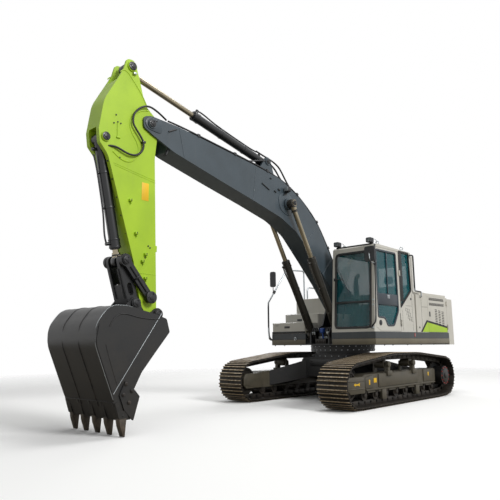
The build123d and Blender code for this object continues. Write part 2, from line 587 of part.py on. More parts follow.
def cab_nodes():
    """Shell, panes, door and what stands inside the cab."""
    shell = cab_shell()
    door = slab(door_side(), CAB_LEFT_Y - CAB_WALL, CAB_LEFT_Y) - slab(door_window(), CAB_LEFT_Y - 100, CAB_LEFT_Y + 5)
    fixed, hung = knuckles(*cab_hinge(), (CAB_FLOOR_Z + 180, CAB_ROOF_Z - 500), -26, 24, 20)
    for lug in fixed:
        shell += lug
    for eye in hung:
        door += eye
    save("cab_shell", shell)
    save("cab_door", door)
    panes = []
    for low, high, window in side_windows():
        mid = (low + high) / 2
        panes.append(slab(offset(window, -0.2), mid - GLASS_T / 2, mid + GLASS_T / 2))
    slope = (CAB_FRONT_X - CAB_ROOF_FRONT_X) / (CAB_ROOF_Z - 40 - CAB_FLOOR_Z)
    low_x = CAB_FRONT_X - slope * (1400.2 - CAB_FLOOR_Z) - 20
    high_x = CAB_FRONT_X - slope * (2869.8 - CAB_FLOOR_Z) - 20
    front = outline((low_x, 1400.2), (high_x, 2869.8), (high_x - GLASS_T, 2869.8), (low_x - GLASS_T, 1400.2))
    panes.append(slab(front, CAB_RIGHT_Y + 70.2, CAB_LEFT_Y - 70.2))
    panes.append(box((CAB_REAR_X + 15, CAB_RIGHT_Y + 120.2, 2150.2), (CAB_REAR_X + 23, CAB_LEFT_Y - 120.2, 2799.8)))
    save("cab_glass", *panes)
    seat_z = CAB_FLOOR_Z + CAB_WALL + FIT
    mid = CAB_LEFT_Y - CAB_WALL / 2
    save("door_glass", slab(offset(door_window(), -0.2), mid - GLASS_T / 2, mid + GLASS_T / 2))
    seat = box((-330, 690, seat_z), (170, 1110, 1560)) + box((-380, 660, 1560), (180, 1140, 1700))
    back = outline((-330, 1690), (-200, 1690), (-330, 2330), (-450, 2330))
    seat += slab(back, 670, 1130)
    save("operator_seat", seat)
    console = box((300, 520, seat_z), (420, 620, 1900)) + box((-250, 470, seat_z), (300, 620, 1800))
    save("consoles", console)


# ---------------------------------------------------------------- boom, arm and bucket

def boom_side():
    """Side view of the boom's box beam, from the foot to the tip."""
    return rounded(
        (10, 1760, 60), (250, 1760, 60), (760, 2322, 900), (1225, 2765, 0), (1735, 3228, 700), (2210, 3448, 900),
        (2920, 3625, 0), (3812, 3828, 0), (4815, 4067, 600), (5230, 4235, 150), (5385, 4310, 75), (5400, 4475, 75),
        (5250, 4520, 200), (4715, 4500, 1500), (3005, 4308, 0), (2215, 4200, 700), (1560, 3905, 800),
        (1050, 3490, 700), (743, 3063, 0), (420, 2580, 900), (0, 1950, 60),
    )


def boom():
    """Goose-neck box beam with its bosses, tip fork and the arm cylinder's bracket."""
    side = boom_side()
    w = BOOM_HALF_WIDTH
    body = slab(side, -w, w)
    fork = rounded((BOOM_TIP[0] - 390, 3800, 0), (5700, 3800, 0), (5700, 4800, 0), (BOOM_TIP[0] - 390, 4800, 0))
    foot = hull_of((*BOOM_FOOT, 130), (BOOM_FOOT[0] - 200, BOOM_FOOT[1] - 200, 130))
    hollow = offset(side, -BOOM_PLATE) - offset(fork, 40) - foot
    body -= slab(hollow, -w + BOOM_PLATE, w - BOOM_PLATE)
    body -= slab(fork, -ARM_HALF_WIDTH - CLEAR, ARM_HALF_WIDTH + CLEAR)
    for sign in (-1, 1):
        low, high = sorted((sign * (w - 5), sign * (BOOM_CYL_Y - BOOM_ROD_EYE - CLEAR)))
        body += rod_y(*BOOM_CYL_PIN, 110, low, high)
    body -= rod_y(*BOOM_FOOT, PIN_R + PIN_FIT, -w - 1, w + 1)
    inner = BARREL_R + CLEAR
    x, z = ARM_CYL_FOOT
    lug = hull_of((x, z, 85), (x - 110, z - 230, 60), (x + 240, z - 250, 40))
    for low, high in ((-inner - 34, -inner), (inner, inner + 34)):
        body += slab(lug, low, high)
    body += rod_y(x, z, PIN_R, -inner - 34, inner + 34)
    for low, high in ((-inner - 50, -inner - 34), (inner + 34, inner + 50)):
        body += rod_y(x, z, 68, low, high)
    body += rod_y(*BOOM_TIP, PIN_R, -w, w)
    for low, high in ((-w - 28, -w), (w, w + 28)):
        body += rod_y(*BOOM_TIP, 75, low, high)
    return body


def boom_top(x):
    """Height of the boom's top plate on its straight outer part."""
    (x0, z0), (x1, z1) = (3005, 4308), (4715, 4500)
    return z0 + (x - x0) * (z1 - z0) / (x1 - x0)


def boom_pipes():
    """Two steel oil pipes along the boom's top, with the blocks that hold them."""
    high = 34
    body = None
    for y in (PIPE_Y, PIPE_Y + 34):
        run = [(1650, y, 4000), (2060, y, 4190), (2240, y, boom_top(2240) + high),
               (4600, y, boom_top(4600) + high)]
        one = pipe(run, PIPE_R, 150)
        body = one if body is None else body + one
    for x in (2750, 3350, 3950, 4500):
        body += box((x - 25, PIPE_Y - 20, boom_top(x + 25) + FIT), (x + 25, PIPE_Y + 54, boom_top(x) + high + 22))
    return body


def arm_side():
    """Side view of the arm's box beam, from the knuckle to the bucket pin."""
    return rounded(
        (5152, 3890, 500), (5065, 1470, 90), (5190, 1455, 90), (5355, 1700, 200), (5488, 2298, 0), (5960, 3750, 300),
        (6095, 3900, 60), (6120, 4090, 60), (6050, 4540, 500), (5810, 4980, 300), (5745, 5110, 80), (5695, 5290, 70),
        (5560, 5310, 70), (5470, 5070, 200), (5385, 4780, 200), (5312, 4640, 100), (5125, 4500, 100), (5105, 4300, 200),
    )


def arm():
    """Tapered box beam with its top knuckle, cylinder cradle, bosses and linkage pins."""
    side = arm_side()
    w = ARM_HALF_WIDTH
    deep = BARREL_R + CLEAR + 12
    along = toward(BUCKET_CYL_FOOT, LINK_TOP_PIN, 1.0)
    ux, uz = along[0] - BUCKET_CYL_FOOT[0], along[1] - BUCKET_CYL_FOOT[1]

    def cradle(back, sides):
        """Trough behind the bucket cylinder, sunk by back and open towards the front."""
        return outline(*[(BUCKET_CYL_FOOT[0] + ux * t + uz * n, BUCKET_CYL_FOOT[1] + uz * t - ux * n)
                         for t, n in ((-150 - sides, back), (-150 - sides, -300), (1500, -300), (1500, back))])

    slot = outline((4900, 5500), (5350, KNUCKLE_FLOOR_Z), (5950, KNUCKLE_FLOOR_Z), (6250, 5500))
    hollow = offset(side, -ARM_PLATE) - cradle(deep + ARM_PLATE, ARM_PLATE)
    hollow -= outline((4900, 5500), (5300, KNUCKLE_FLOOR_Z - ARM_PLATE), (6000, KNUCKLE_FLOOR_Z - ARM_PLATE),
                      (6250, 5500))
    hollow -= Pos(*BOOM_TIP) * Circle(125)
    hollow -= Pos(*BUCKET_PIN) * Circle(125)
    hollow -= Pos(*ROCKER_PIN) * Circle(80)
    body = slab(side, -w, w)
    body -= slab(hollow, -w + ARM_PLATE, w - ARM_PLATE)
    body -= slab(slot, -w + KNUCKLE_PLATE, w - KNUCKLE_PLATE)
    body -= slab(cradle(deep, 0), -deep, deep)
    for pin in (BOOM_TIP, BUCKET_PIN):
        body -= rod_y(*pin, PIN_R + PIN_FIT, -w - 1, w + 1)
    body += rod_y(*BUCKET_CYL_FOOT, PIN_R, -w, w)
    for low, high in ((-w - 22, -w), (w, w + 22)):
        body += rod_y(*BUCKET_CYL_FOOT, 70, low, high)
        body += rod_y(*ARM_CYL_PIN, 78, low, high)
    body += rod_y(*ROCKER_PIN, PIN_R, -w - 72, w + 72)
    for low, high in ((-w - 82, -w - 62), (w + 62, w + 82)):
        body += rod_y(*ROCKER_PIN, 62, low, high)
    return body


def cylinder_pair(foot, pin, gland, inside, y, eye_half):
    """Barrel and rod of one hydraulic cylinder in the plane y: (barrel, rod)."""
    barrel = rod_between(foot, toward(foot, pin, gland), BARREL_R, y)
    barrel += rod_between(toward(foot, pin, gland - 120), toward(foot, pin, gland - 12), BARREL_R + 6, y)
    barrel += rod_y(*foot, EYE_R, y - FOOT_EYE, y + FOOT_EYE)
    barrel -= rod_y(*foot, PIN_R + PIN_FIT, y - FOOT_EYE - 1, y + FOOT_EYE + 1)
    barrel -= rod_between(toward(foot, pin, EYE_R + 30), toward(foot, pin, gland + 1), ROD_R + ROD_FIT, y)
    reach = math.dist(foot, pin)
    rod = rod_between(toward(foot, pin, gland - inside), toward(foot, pin, reach - EYE_R + 15), ROD_R, y)
    rod += rod_between(toward(foot, pin, reach - EYE_R - 45), pin, ROD_R + 14, y)
    rod += rod_y(*pin, EYE_R, y - eye_half, y + eye_half)
    return barrel, rod


def cylinders():
    """Boom, arm and bucket cylinders."""
    barrel, rod = cylinder_pair(BOOM_CYL_FOOT, BOOM_CYL_PIN, 1690, BOOM_ROD_INSIDE, BOOM_CYL_Y, BOOM_ROD_EYE)
    rod += rod_y(*BOOM_CYL_PIN, 60, BOOM_CYL_Y + BOOM_ROD_EYE - 1, BOOM_CYL_Y + BOOM_ROD_EYE + 16)
    save("boom_cylinder_barrels", *pair(barrel))
    save("boom_cylinder_rods", *pair(rod))
    barrel, rod = cylinder_pair(ARM_CYL_FOOT, ARM_CYL_PIN, 1830, ARM_ROD_INSIDE, 0, ARM_ROD_EYE)
    save("arm_cylinder_barrel", barrel)
    save("arm_cylinder_rod", rod)
    barrel, rod = cylinder_pair(BUCKET_CYL_FOOT, LINK_TOP_PIN, 1560, BUCKET_ROD_INSIDE, 0, BUCKET_ROD_EYE)
    save("bucket_cylinder_barrel", barrel)
    save("bucket_cylinder_rod", rod)


def linkage():
    """Rocker pair on the arm and the forked link down to the bucket."""
    inner = ARM_HALF_WIDTH + CLEAR
    side = hull_of((*ROCKER_PIN, 60), (*LINK_TOP_PIN, 60)) + Pos(*ROCKER_PIN) * Circle(78) + Pos(*LINK_TOP_PIN) * Circle(88)
    rocker = slab(side, inner, inner + 50) - rod_y(*ROCKER_PIN, PIN_R + PIN_FIT, inner - 1, inner + 51)
    rocker += rod_y(*LINK_TOP_PIN, 66, inner + 49, inner + 68)
    save("rocker_links", *pair(rocker))
    half = ARM_HALF_WIDTH - 5
    link = slab(hull_of((*LINK_TOP_PIN, 84), (*LINK_LOW_PIN, 84)), -half, half)
    link -= slab(hull_of((*LINK_TOP_PIN, 210), (*toward(LINK_TOP_PIN, LINK_LOW_PIN, 130), 210)), -100, 100)
    link -= slab(hull_of((*toward(LINK_TOP_PIN, LINK_LOW_PIN, 360), 40), (*toward(LINK_TOP_PIN, LINK_LOW_PIN, 460), 40)),
                 -half - 1, half + 1)
    link -= rod_y(*LINK_LOW_PIN, PIN_R + PIN_FIT, -half - 1, half + 1)
    save("bucket_link", link)


def bucket_side():
    """Side view of the bucket's cheeks: back, top and the slanted mouth."""
    return rounded(
        (5835, BUCKET_LIP_Z, 0), (5925, BUCKET_LIP_Z, 0), (6320, 1150, BUCKET_ROLL_R), (6320, 1377, BUCKET_ROLL_R),
        (6123, 1632, BUCKET_ROLL_R), (5850, 1628, 150), (5386, 1530, 60), (5215, 1475, 40), (5160, 1297, 30),
        (5426, 996, 0), (5613, 779, 80), (5735, 560, 0), (5775, BUCKET_LIP_Z, 0),
    )


def bucket():
    """Bucket: rolled shell between two cheeks, with ears, edge, side cutters and teeth."""
    w = BUCKET_HALF_WIDTH
    side = bucket_side()
    inside = offset(side, -BUCKET_PLATE) + outline(
        (5200, 1453), (5170, 1330), (5440, 1010), (5630, 790), (5765, 560), (5800, 130), (5000, 130), (4900, 1300))
    lip = outline((5826, 345), (5990, 345), (5940, BUCKET_LIP_Z), (5826, BUCKET_LIP_Z))
    body = slab(side, -w, w) - slab(inside - lip, -w + BUCKET_PLATE, w - BUCKET_PLATE)
    cutter = rounded((5868, 690, 15), (5800, 640, 10), (5650, 480, 10), (5742, 182, 12), (5880, 330, 10), (5955, 515, 10))
    rim = rounded((6268, 1400, 60), (6310, 1160, 300), (6060, 560, 0), (6010, 590, 0), (6250, 1170, 300), (6205, 1370, 60))
    gap = ARM_HALF_WIDTH + CLEAR
    for sign in (-1, 1):
        low, high = sorted((sign * (w - 1), sign * (w + 18)))
        body += slab(cutter, low, high)
        low, high = sorted((sign * (w - 1), sign * (w + 8)))
        body += slab(rim, low, high)
        low, high = sorted((sign * gap, sign * (gap + 34)))
        ear = hull_of((*BUCKET_PIN, 88), (5150, 1420, 20), (5330, 1450, 20), (5250, 1490, 20))
        ear += hull_of((*LINK_LOW_PIN, 86), (5330, 1480, 30), (5680, 1520, 40))
        body += slab(ear, low, high)
        low, high = sorted((sign * gap, sign * (gap + 62)))
        body += rod_y(*BUCKET_PIN, 74, low, high) + rod_y(*LINK_LOW_PIN, 74, low, high)
    body += rod_y(*BUCKET_PIN, PIN_R, -gap - 30, gap + 30) + rod_y(*LINK_LOW_PIN, PIN_R, -gap - 30, gap + 30)
    spacing = 2 * (w - TOOTH_INSET) / (TOOTH_COUNT - 1)
    adapter = rounded((5822, 232, 10), (5948, 222, 20), (6012, 415, 10), (5968, 430, 0), (5932, 320, 0), (5835, 320, 0),
                      (5826, 430, 0), (5790, 430, 10))
    tooth = outline((5852, TOOTH_TIP_Z), (5872, TOOTH_TIP_Z), (5922, 140), (5942, 245), (5832, 245))
    for k in range(TOOTH_COUNT):
        y = -w + TOOTH_INSET + k * spacing
        body += slab(adapter, y - 52, y + 52)
        body += slab(tooth, y - 42, y + 42)
    return body


def roof_lamps():
    """Two work lamps on the cab's roof and one on the boom's left side: (cab's, boom's)."""
    cab = []
    for y in (CAB_RIGHT_Y + 90, CAB_LEFT_Y - 110):
        lamp = box((CAB_ROOF_FRONT_X - 90, y - 55, CAB_ROOF_Z + 25), (CAB_ROOF_FRONT_X + 15, y + 55, CAB_ROOF_Z + 120))
        lamp = fillet(lamp.edges().filter_by(Axis.X), 20)
        lamp += box((CAB_ROOF_FRONT_X - 130, y - 25, CAB_ROOF_Z + FIT), (CAB_ROOF_FRONT_X - 60, y + 25, CAB_ROOF_Z + 35))
        cab.append(lamp)
    return cab


def bar_between(start, end, radius):
    """Cylinder from one point to another."""
    along = Vector(*end) - Vector(*start)
    return Plane(origin=start, z_dir=along) * Cylinder(
        radius, along.length, align=(Align.CENTER, Align.CENTER, Align.MIN)
    )


def mirror_head(x, y, z, width, height):
    """Mirror housing with rounded corners, its rear face at x and its lower edge at z."""
    head = box((x, y - width / 2, z), (x + MIRROR_T, y + width / 2, z + height))
    return fillet(head.edges().filter_by(Axis.X), 40)


def mirrors():
    """Left mirror on the cab's front pillar, right mirror clamped to the front rail."""
    x, y, z = CAB_ROOF_FRONT_X + 205, CAB_LEFT_Y + MIRROR_STEP, CAB_ROOF_Z - 380
    stalk = x + MIRROR_T + 5
    left = mirror_head(x, y, z, MIRROR_WIDTH, MIRROR_HEIGHT)
    left += pipe([(CAB_ROOF_FRONT_X + 15, CAB_LEFT_Y + 7.5, z - 20), (stalk, y + 20, z - 20), (stalk, y, z + 160)], 8, 30)
    knee, brow = Vector(*RAIL_KNEE), Vector(*RAIL_BROW)
    along = (brow - knee).normalized()
    seat = knee + along * 300
    clamp = Plane(origin=seat, z_dir=along) * (Cylinder(RAIL_R + 14, 60) - Cylinder(RAIL_R + FIT, 60))
    target = Vector(seat.X, knee.Y, seat.Z + 140)
    across = target - seat
    across = (across - along * across.dot(along)).normalized()
    right = clamp + bar_between(tuple(seat + across * (RAIL_R + 8)), tuple(target), 9)
    right += mirror_head(target.X - MIRROR_T / 2, target.Y, target.Z - 20, POLE_MIRROR_WIDTH, POLE_MIRROR_HEIGHT)
    return left, right


def handrails():
    """Grab rails: rear edge of the cab, the right-hand boxes and the tank's top."""
    y, post = CAB_LEFT_Y + 60, CAB_REAR_X + 80
    cab = pipe([(post + 60, CAB_LEFT_Y + FIT, CAB_ROOF_Z - 90), (post + 60, y, CAB_ROOF_Z - 90), (post, y, CAB_ROOF_Z - 90),
                (post, y, PANEL_TOP_Z + 60), (post - 290, y, PANEL_TOP_Z + 60), (post - 290, y, PANEL_TOP_Z - 50),
                (post - 290, HOUSE_HALF_WIDTH - 5 + FIT, PANEL_TOP_Z - 50)], 14, 28)
    y, inner_y = RAIL_BROW[1], -470
    knee_x, foot_y = RAIL_KNEE[0], RAIL_KNEE[1]
    front = pipe([(knee_x - 158, foot_y, DECK_BOTTOM_Z + 105), (knee_x - 25, foot_y, DECK_BOTTOM_Z + 130),
                  (knee_x, foot_y, DECK_BOTTOM_Z + 310), RAIL_KNEE, RAIL_BROW, (-440, y, TANK_TOP_Z + 705),
                  (-440, y, TANK_TOP_Z + FIT)], RAIL_R, 60)
    front += box((knee_x - 155, foot_y, DECK_BOTTOM_Z + 90), (knee_x - 110, -HOUSE_HALF_WIDTH - FIT, DECK_BOTTOM_Z + 125))
    inner = pipe([(-240, inner_y, TANK_TOP_Z + FIT), (-240, inner_y, 2480), (-900, inner_y, 2480),
                  (-900, inner_y, TANK_TOP_Z + FIT)], RAIL_R, 90)
    outer = pipe([(-560, y, TANK_TOP_Z + FIT), (-560, y, 2440), (-1050, y, 2440), (-1050, y, TANK_TOP_Z + FIT)], RAIL_R, 90)
    return cab, front, inner, outer


# ---------------------------------------------------------------- build

def main():
    """Writes every node."""
    os.makedirs("parts", exist_ok=True)
    running_gear()
    save("house_frame", house_frame())
    left, right = skirts()
    save("skirts", left, right)
    save("slew_ring_upper", ring_upper())
    save("counterweight", counterweight())
    right_post = engine_bay()
    cover, lid = hood()
    save("front_cover", cover)
    save("engine_hood", lid)
    post, door = service_doors()
    save("rear_posts", *pair(post), right_post)
    save("left_service_door", door)
    save("right_service_door", mirror(door, Plane.XZ))
    cab_nodes()
    save("boom", boom())
    save("arm", arm())
    cylinders()
    linkage()
    save("bucket", bucket())
    save("boom_pipes", boom_pipes())
    save("roof_lamps", *roof_lamps())
    left, right = mirrors()
    save("mirrors", left, right)
    save("handrails", *handrails())


main()
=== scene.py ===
"""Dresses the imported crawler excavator: finishes, track shoes, hoses, glass seals, cab fittings and wear.

All lengths are metres in the machine's frame: the origin is on the ground under the slew axis, +X points
forward along the boom, +Y to the operator's left and +Z up.
"""

import json
import logging
import math
from dataclasses import dataclass
from enum import Enum
from typing import Any, Iterable, Sequence

import bpy
from mathutils import Matrix, Vector

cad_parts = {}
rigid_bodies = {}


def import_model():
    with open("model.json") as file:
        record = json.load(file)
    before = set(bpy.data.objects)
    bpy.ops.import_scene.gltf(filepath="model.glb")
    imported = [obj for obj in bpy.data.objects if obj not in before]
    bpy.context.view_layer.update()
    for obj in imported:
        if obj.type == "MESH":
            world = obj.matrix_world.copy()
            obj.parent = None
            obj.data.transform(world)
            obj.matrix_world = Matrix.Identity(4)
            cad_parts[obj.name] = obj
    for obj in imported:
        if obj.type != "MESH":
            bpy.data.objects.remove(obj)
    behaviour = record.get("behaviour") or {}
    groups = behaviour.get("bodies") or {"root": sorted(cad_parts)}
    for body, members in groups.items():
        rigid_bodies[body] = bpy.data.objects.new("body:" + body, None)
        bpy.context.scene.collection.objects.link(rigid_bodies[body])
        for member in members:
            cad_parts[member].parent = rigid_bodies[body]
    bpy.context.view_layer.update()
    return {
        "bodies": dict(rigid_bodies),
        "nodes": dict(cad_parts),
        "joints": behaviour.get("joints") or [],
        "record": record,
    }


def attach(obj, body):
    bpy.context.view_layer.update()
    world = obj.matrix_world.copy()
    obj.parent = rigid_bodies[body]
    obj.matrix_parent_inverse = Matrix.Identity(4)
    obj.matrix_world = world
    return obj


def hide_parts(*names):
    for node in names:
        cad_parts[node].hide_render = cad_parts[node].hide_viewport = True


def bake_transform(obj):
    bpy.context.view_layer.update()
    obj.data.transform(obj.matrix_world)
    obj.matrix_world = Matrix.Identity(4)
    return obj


LOG = logging.getLogger("excavator")
Point = tuple[float, float, float]
Flat = tuple[float, float]
Thing = bpy.types.Object
Tree = bpy.types.NodeTree
Socket = bpy.types.NodeSocket
Node = bpy.types.Node

# Angles in degrees: faces that meet below these are shaded as one surface, on plates and on round bars.
PLATE_SHADING, ROUND_SHADING = 40, 50
# Noise values between which a pattern fades in: clouds of shade, dust runs, dust specks.
CLOUD_FADE, RUN_FADE, SPECK_FADE = (0.35, 0.68), (0.55, 0.75), (0.38, 0.72)
# Dust on the shader per unit of dust_amount, and the swing of roughness between clean and dusty spots.
DUST_GAIN, ROUGH_LOW, ROUGH_HIGH = 2.2, 0.85, 1.25
# Counts on the machine.
ROLLERS, SPROCKET_TEETH, DRIVE_BOLTS, RING_PLUGS, RING_SCREWS, RING_STUDS = 8, 21, 12, 32, 36, 28
# First and last bottom roller along the frame.
FIRST_ROLLER, LAST_ROLLER = -1.290, 1.370
# Pitch of the non-slip studs on the cover and on the boxes.
COVER_STUD_STEP, BOX_STUD_STEP = 0.045, 0.05


class Body(str, Enum):
    """The moving bodies a piece can ride on."""

    TRACKS = "undercarriage"
    HOUSE = "house"
    CAB_DOOR = "cab_door"
    LEFT_DOOR = "left_service_door"
    RIGHT_DOOR = "right_service_door"
    HOOD = "hood"
    BOOM = "boom"
    BOOM_BARRELS = "boom_barrels"
    BOOM_RODS = "boom_rods"
    ARM = "arm"
    ARM_BARREL = "arm_barrel"
    ARM_ROD = "arm_rod"
    BUCKET_BARREL = "bucket_barrel"
    BUCKET_ROD = "bucket_rod"
    ROCKER = "rocker"
    LINK = "link"
    BUCKET = "bucket"


class Slot(str, Enum):
    """The record's material slots."""

    BLACK = "black_paint"
    SHOE = "shoe_steel"
    GREY = "grey_paint"
    DARK = "dark_grey_paint"
    SLATE = "slate_paint"
    GREEN = "green_paint"
    GLASS = "glass"
    FABRIC = "seat_fabric"
    PLASTIC = "console_plastic"
    IRON = "engine_iron"
    RAIL = "rail_steel"


# ---------------------------------------------------------------- colour and node helpers

def linear(hex_colour: str) -> tuple[float, float, float, float]:
    """Turns an sRGB hex colour into linear values.

    Args:
        hex_colour: Six hex digits, such as "AAD02D".

    Returns:
        Red, green, blue and an alpha of 1.
    """
    values = [int(hex_colour[k:k + 2], 16) / 255 for k in (0, 2, 4)]
    low, high = 0.04045, 2.4
    red, green, blue = (v / 12.92 if v <= low else ((v + 0.055) / 1.055) ** high for v in values)
    return red, green, blue, 1.0


def add_node(tree: Tree, kind: str, settings: dict[str, Any] | None = None,
             links: dict[str, Socket] | None = None) -> Node:
    """Adds one node with its settings and its incoming links.

    Args:
        tree: The material's node tree.
        kind: The node's type name.
        settings: Attribute values, or socket values where the key is a socket's name.
        links: Input socket name to the output socket that feeds it.

    Returns:
        The new node.
    """
    node = tree.nodes.new(kind)
    for key, value in (settings or {}).items():
        if key in node.inputs and not hasattr(type(node), key):
            node.inputs[key].default_value = value
        else:
            setattr(node, key, value)
    for key, socket in (links or {}).items():
        tree.links.new(socket, node.inputs[int(key)] if key.isdigit() else node.inputs[key])
    return node


def ramp(tree: Tree, socket: Socket, low: float, high: float) -> Socket:
    """Maps a value so that low becomes 0 and high becomes 1, clamped.

    Args:
        tree: The material's node tree.
        socket: The value to map.
        low: Value that gives 0.
        high: Value that gives 1.

    Returns:
        The mapped value's socket.
    """
    node = add_node(tree, "ShaderNodeMapRange", {"From Min": low, "From Max": high}, {"Value": socket})
    return node.outputs["Result"]


def blend_colours(tree: Tree, factor: Socket, first: Any, second: Any) -> Socket:
    """Mixes two colours, each a socket or linear values.

    Args:
        tree: The material's node tree.
        factor: Share of the second colour.
        first: Colour where the factor is 0.
        second: Colour where the factor is 1.

    Returns:
        The mixed colour's socket.
    """
    node = add_node(tree, "ShaderNodeMix", {"data_type": "RGBA"})
    tree.links.new(factor, node.inputs[0])
    for index, colour in ((6, first), (7, second)):
        if isinstance(colour, Socket):
            tree.links.new(colour, node.inputs[index])
        else:
            node.inputs[index].default_value = colour
    return node.outputs[2]


# ---------------------------------------------------------------- finishes

@dataclass(frozen=True)
class Finish:
    """A surface finish: a base colour with a cloudy variation, dust and a fine bump.

    The dust lies thicker towards the ground, as on any machine that works in soil.
    """

    name: str
    colour: str
    shade: str
    roughness: float = 0.45
    metallic: float = 0.0
    coat: float = 0.0
    dust: str = "8C7A66"
    dust_amount: float = 0.15
    dust_top: float = 1.6
    cloud_mm: float = 400.0
    grain_mm: float = 3.0
    bump_mm: float = 0.15
    streak: float = 0.0

    def material(self) -> bpy.types.Material:
        """Builds the finish once and returns it.

        Returns:
            The material.
        """
        known = bpy.data.materials.get(self.name)
        if known:
            return known
        made = bpy.data.materials.new(self.name)
        made.use_nodes = True
        tree = made.node_tree
        shader = tree.nodes["Principled BSDF"]
        where = add_node(tree, "ShaderNodeTexCoord").outputs["Object"]
        self.dress(tree, shader, where)
        return made

    def dress(self, tree: Tree, shader: Node, where: Socket) -> None:
        """Lays colour, dust, roughness and bump on the shader.

        Args:
            tree: The material's node tree.
            shader: Its principled shader.
            where: Object coordinates.
        """
        cloud = add_node(tree, "ShaderNodeTexNoise", {"Scale": 1000 / self.cloud_mm, "Detail": 5.0},
                         {"Vector": where})
        colour = blend_colours(tree, ramp(tree, cloud.outputs["Fac"], *CLOUD_FADE), linear(self.colour),
                               linear(self.shade))
        if self.streak:
            squeezed = add_node(tree, "ShaderNodeMapping", {"Scale": (9.0, 9.0, 0.7)}, {"Vector": where})
            runs = add_node(tree, "ShaderNodeTexNoise", {"Scale": 2.2, "Detail": 6.0},
                            {"Vector": squeezed.outputs[0]})
            mask = add_node(tree, "ShaderNodeMath", {"operation": "MULTIPLY"},
                            {"0": ramp(tree, runs.outputs["Fac"], *RUN_FADE)})
            mask.inputs[1].default_value = self.streak
            colour = blend_colours(tree, mask.outputs[0], colour, linear(self.dust))
        height = add_node(tree, "ShaderNodeSeparateXYZ", {}, {"Vector": where}).outputs["Z"]
        low_down = ramp(tree, height, self.dust_top, 0.0)
        speck = add_node(tree, "ShaderNodeTexNoise", {"Scale": 9.0, "Detail": 9.0, "Roughness": 0.7},
                         {"Vector": where})
        spread = add_node(tree, "ShaderNodeMath", {"operation": "MULTIPLY"},
                          {"0": low_down, "1": ramp(tree, speck.outputs["Fac"], *SPECK_FADE)})
        thin = add_node(tree, "ShaderNodeMath", {"operation": "MULTIPLY"}, {"0": spread.outputs[0]})
        thin.inputs[1].default_value = self.dust_amount * DUST_GAIN
        colour = blend_colours(tree, thin.outputs[0], colour, linear(self.dust))
        tree.links.new(colour, shader.inputs["Base Color"])
        rough = add_node(tree, "ShaderNodeMapRange",
                         {"To Min": self.roughness * ROUGH_LOW,
                          "To Max": min(1.0, self.roughness * ROUGH_HIGH)},
                         {"Value": speck.outputs["Fac"]})
        tree.links.new(rough.outputs["Result"], shader.inputs["Roughness"])
        shader.inputs["Metallic"].default_value = self.metallic
        shader.inputs["Coat Weight"].default_value = self.coat
        grain = add_node(tree, "ShaderNodeTexNoise", {"Scale": 1000 / self.grain_mm, "Detail": 3.0},
                         {"Vector": where})
        bump = add_node(tree, "ShaderNodeBump", {"Strength": 0.35, "Distance": self.bump_mm / 1000},
                        {"Height": grain.outputs["Fac"]})
        tree.links.new(bump.outputs["Normal"], shader.inputs["Normal"])


@dataclass(frozen=True)
class WornSteel(Finish):
    """Bare steel rubbed bright on its high spots and brown with earth between them."""

    bright: str = "9A958C"
    wear: float = 0.35

    def dress(self, tree: Tree, shader: Node, where: Socket) -> None:
        """Adds rubbed patches over the plain finish.

        Args:
            tree: The material's node tree.
            shader: Its principled shader.
            where: Object coordinates.
        """
        super().dress(tree, shader, where)
        rub = add_node(tree, "ShaderNodeTexNoise", {"Scale": 26.0, "Detail": 8.0, "Roughness": 0.65},
                       {"Vector": where})
        mask = ramp(tree, rub.outputs["Fac"], 0.62 - self.wear * 0.3, 0.72)
        old = shader.inputs["Base Color"].links[0].from_socket
        tree.links.new(blend_colours(tree, mask, old, linear(self.bright)), shader.inputs["Base Color"])
        shine = add_node(tree, "ShaderNodeMath", {"operation": "MULTIPLY"}, {"0": mask})
        shine.inputs[1].default_value = 0.8
        tree.links.new(shine.outputs[0], shader.inputs["Metallic"])


@dataclass(frozen=True)
class WindowGlass(Finish):
    """Tinted safety glass: mostly see-through, with a green-blue cast and a sharp reflection."""

    def dress(self, tree: Tree, shader: Node, where: Socket) -> None:
        """Sets the pane's see-through share and a faint film of dust.

        Args:
            tree: The material's node tree.
            shader: Its principled shader.
            where: Object coordinates.
        """
        film = add_node(tree, "ShaderNodeTexNoise", {"Scale": 2.5, "Detail": 6.0}, {"Vector": where})
        colour = blend_colours(tree, ramp(tree, film.outputs["Fac"], 0.4, 0.7), linear(self.colour),
                               linear(self.shade))
        tree.links.new(colour, shader.inputs["Base Color"])
        alpha = add_node(tree, "ShaderNodeMapRange", {"To Min": 0.42, "To Max": 0.52},
                         {"Value": film.outputs["Fac"]})
        tree.links.new(alpha.outputs["Result"], shader.inputs["Alpha"])
        shader.inputs["Roughness"].default_value = 0.04
        shader.inputs["IOR"].default_value = 1.5


@dataclass(frozen=True)
class WovenCloth(Finish):
    """Seat cloth: a dark weave with a slight sheen."""

    thread_mm: float = 6.0

    def dress(self, tree: Tree, shader: Node, where: Socket) -> None:
        """Crosses two thread waves for the weave, drawn coarser than life so that it shows.

        Args:
            tree: The material's node tree.
            shader: Its principled shader.
            where: Object coordinates.
        """
        waves = []
        for axis in ("X", "Y"):
            wave = add_node(tree, "ShaderNodeTexWave",
                            {"bands_direction": axis, "Scale": 1000 / self.thread_mm / 6.28 * 2},
                            {"Vector": where})
            waves.append(wave.outputs["Fac"])
        cross = add_node(tree, "ShaderNodeMath", {"operation": "MULTIPLY"}, {"0": waves[0], "1": waves[1]})
        colour = blend_colours(tree, cross.outputs[0], linear(self.colour), linear(self.shade))
        tree.links.new(colour, shader.inputs["Base Color"])
        bump = add_node(tree, "ShaderNodeBump", {"Strength": 0.5, "Distance": 0.0008},
                        {"Height": cross.outputs[0]})
        tree.links.new(bump.outputs["Normal"], shader.inputs["Normal"])
        shader.inputs["Roughness"].default_value = 0.9
        shader.inputs["Sheen Weight"].default_value = 0.3


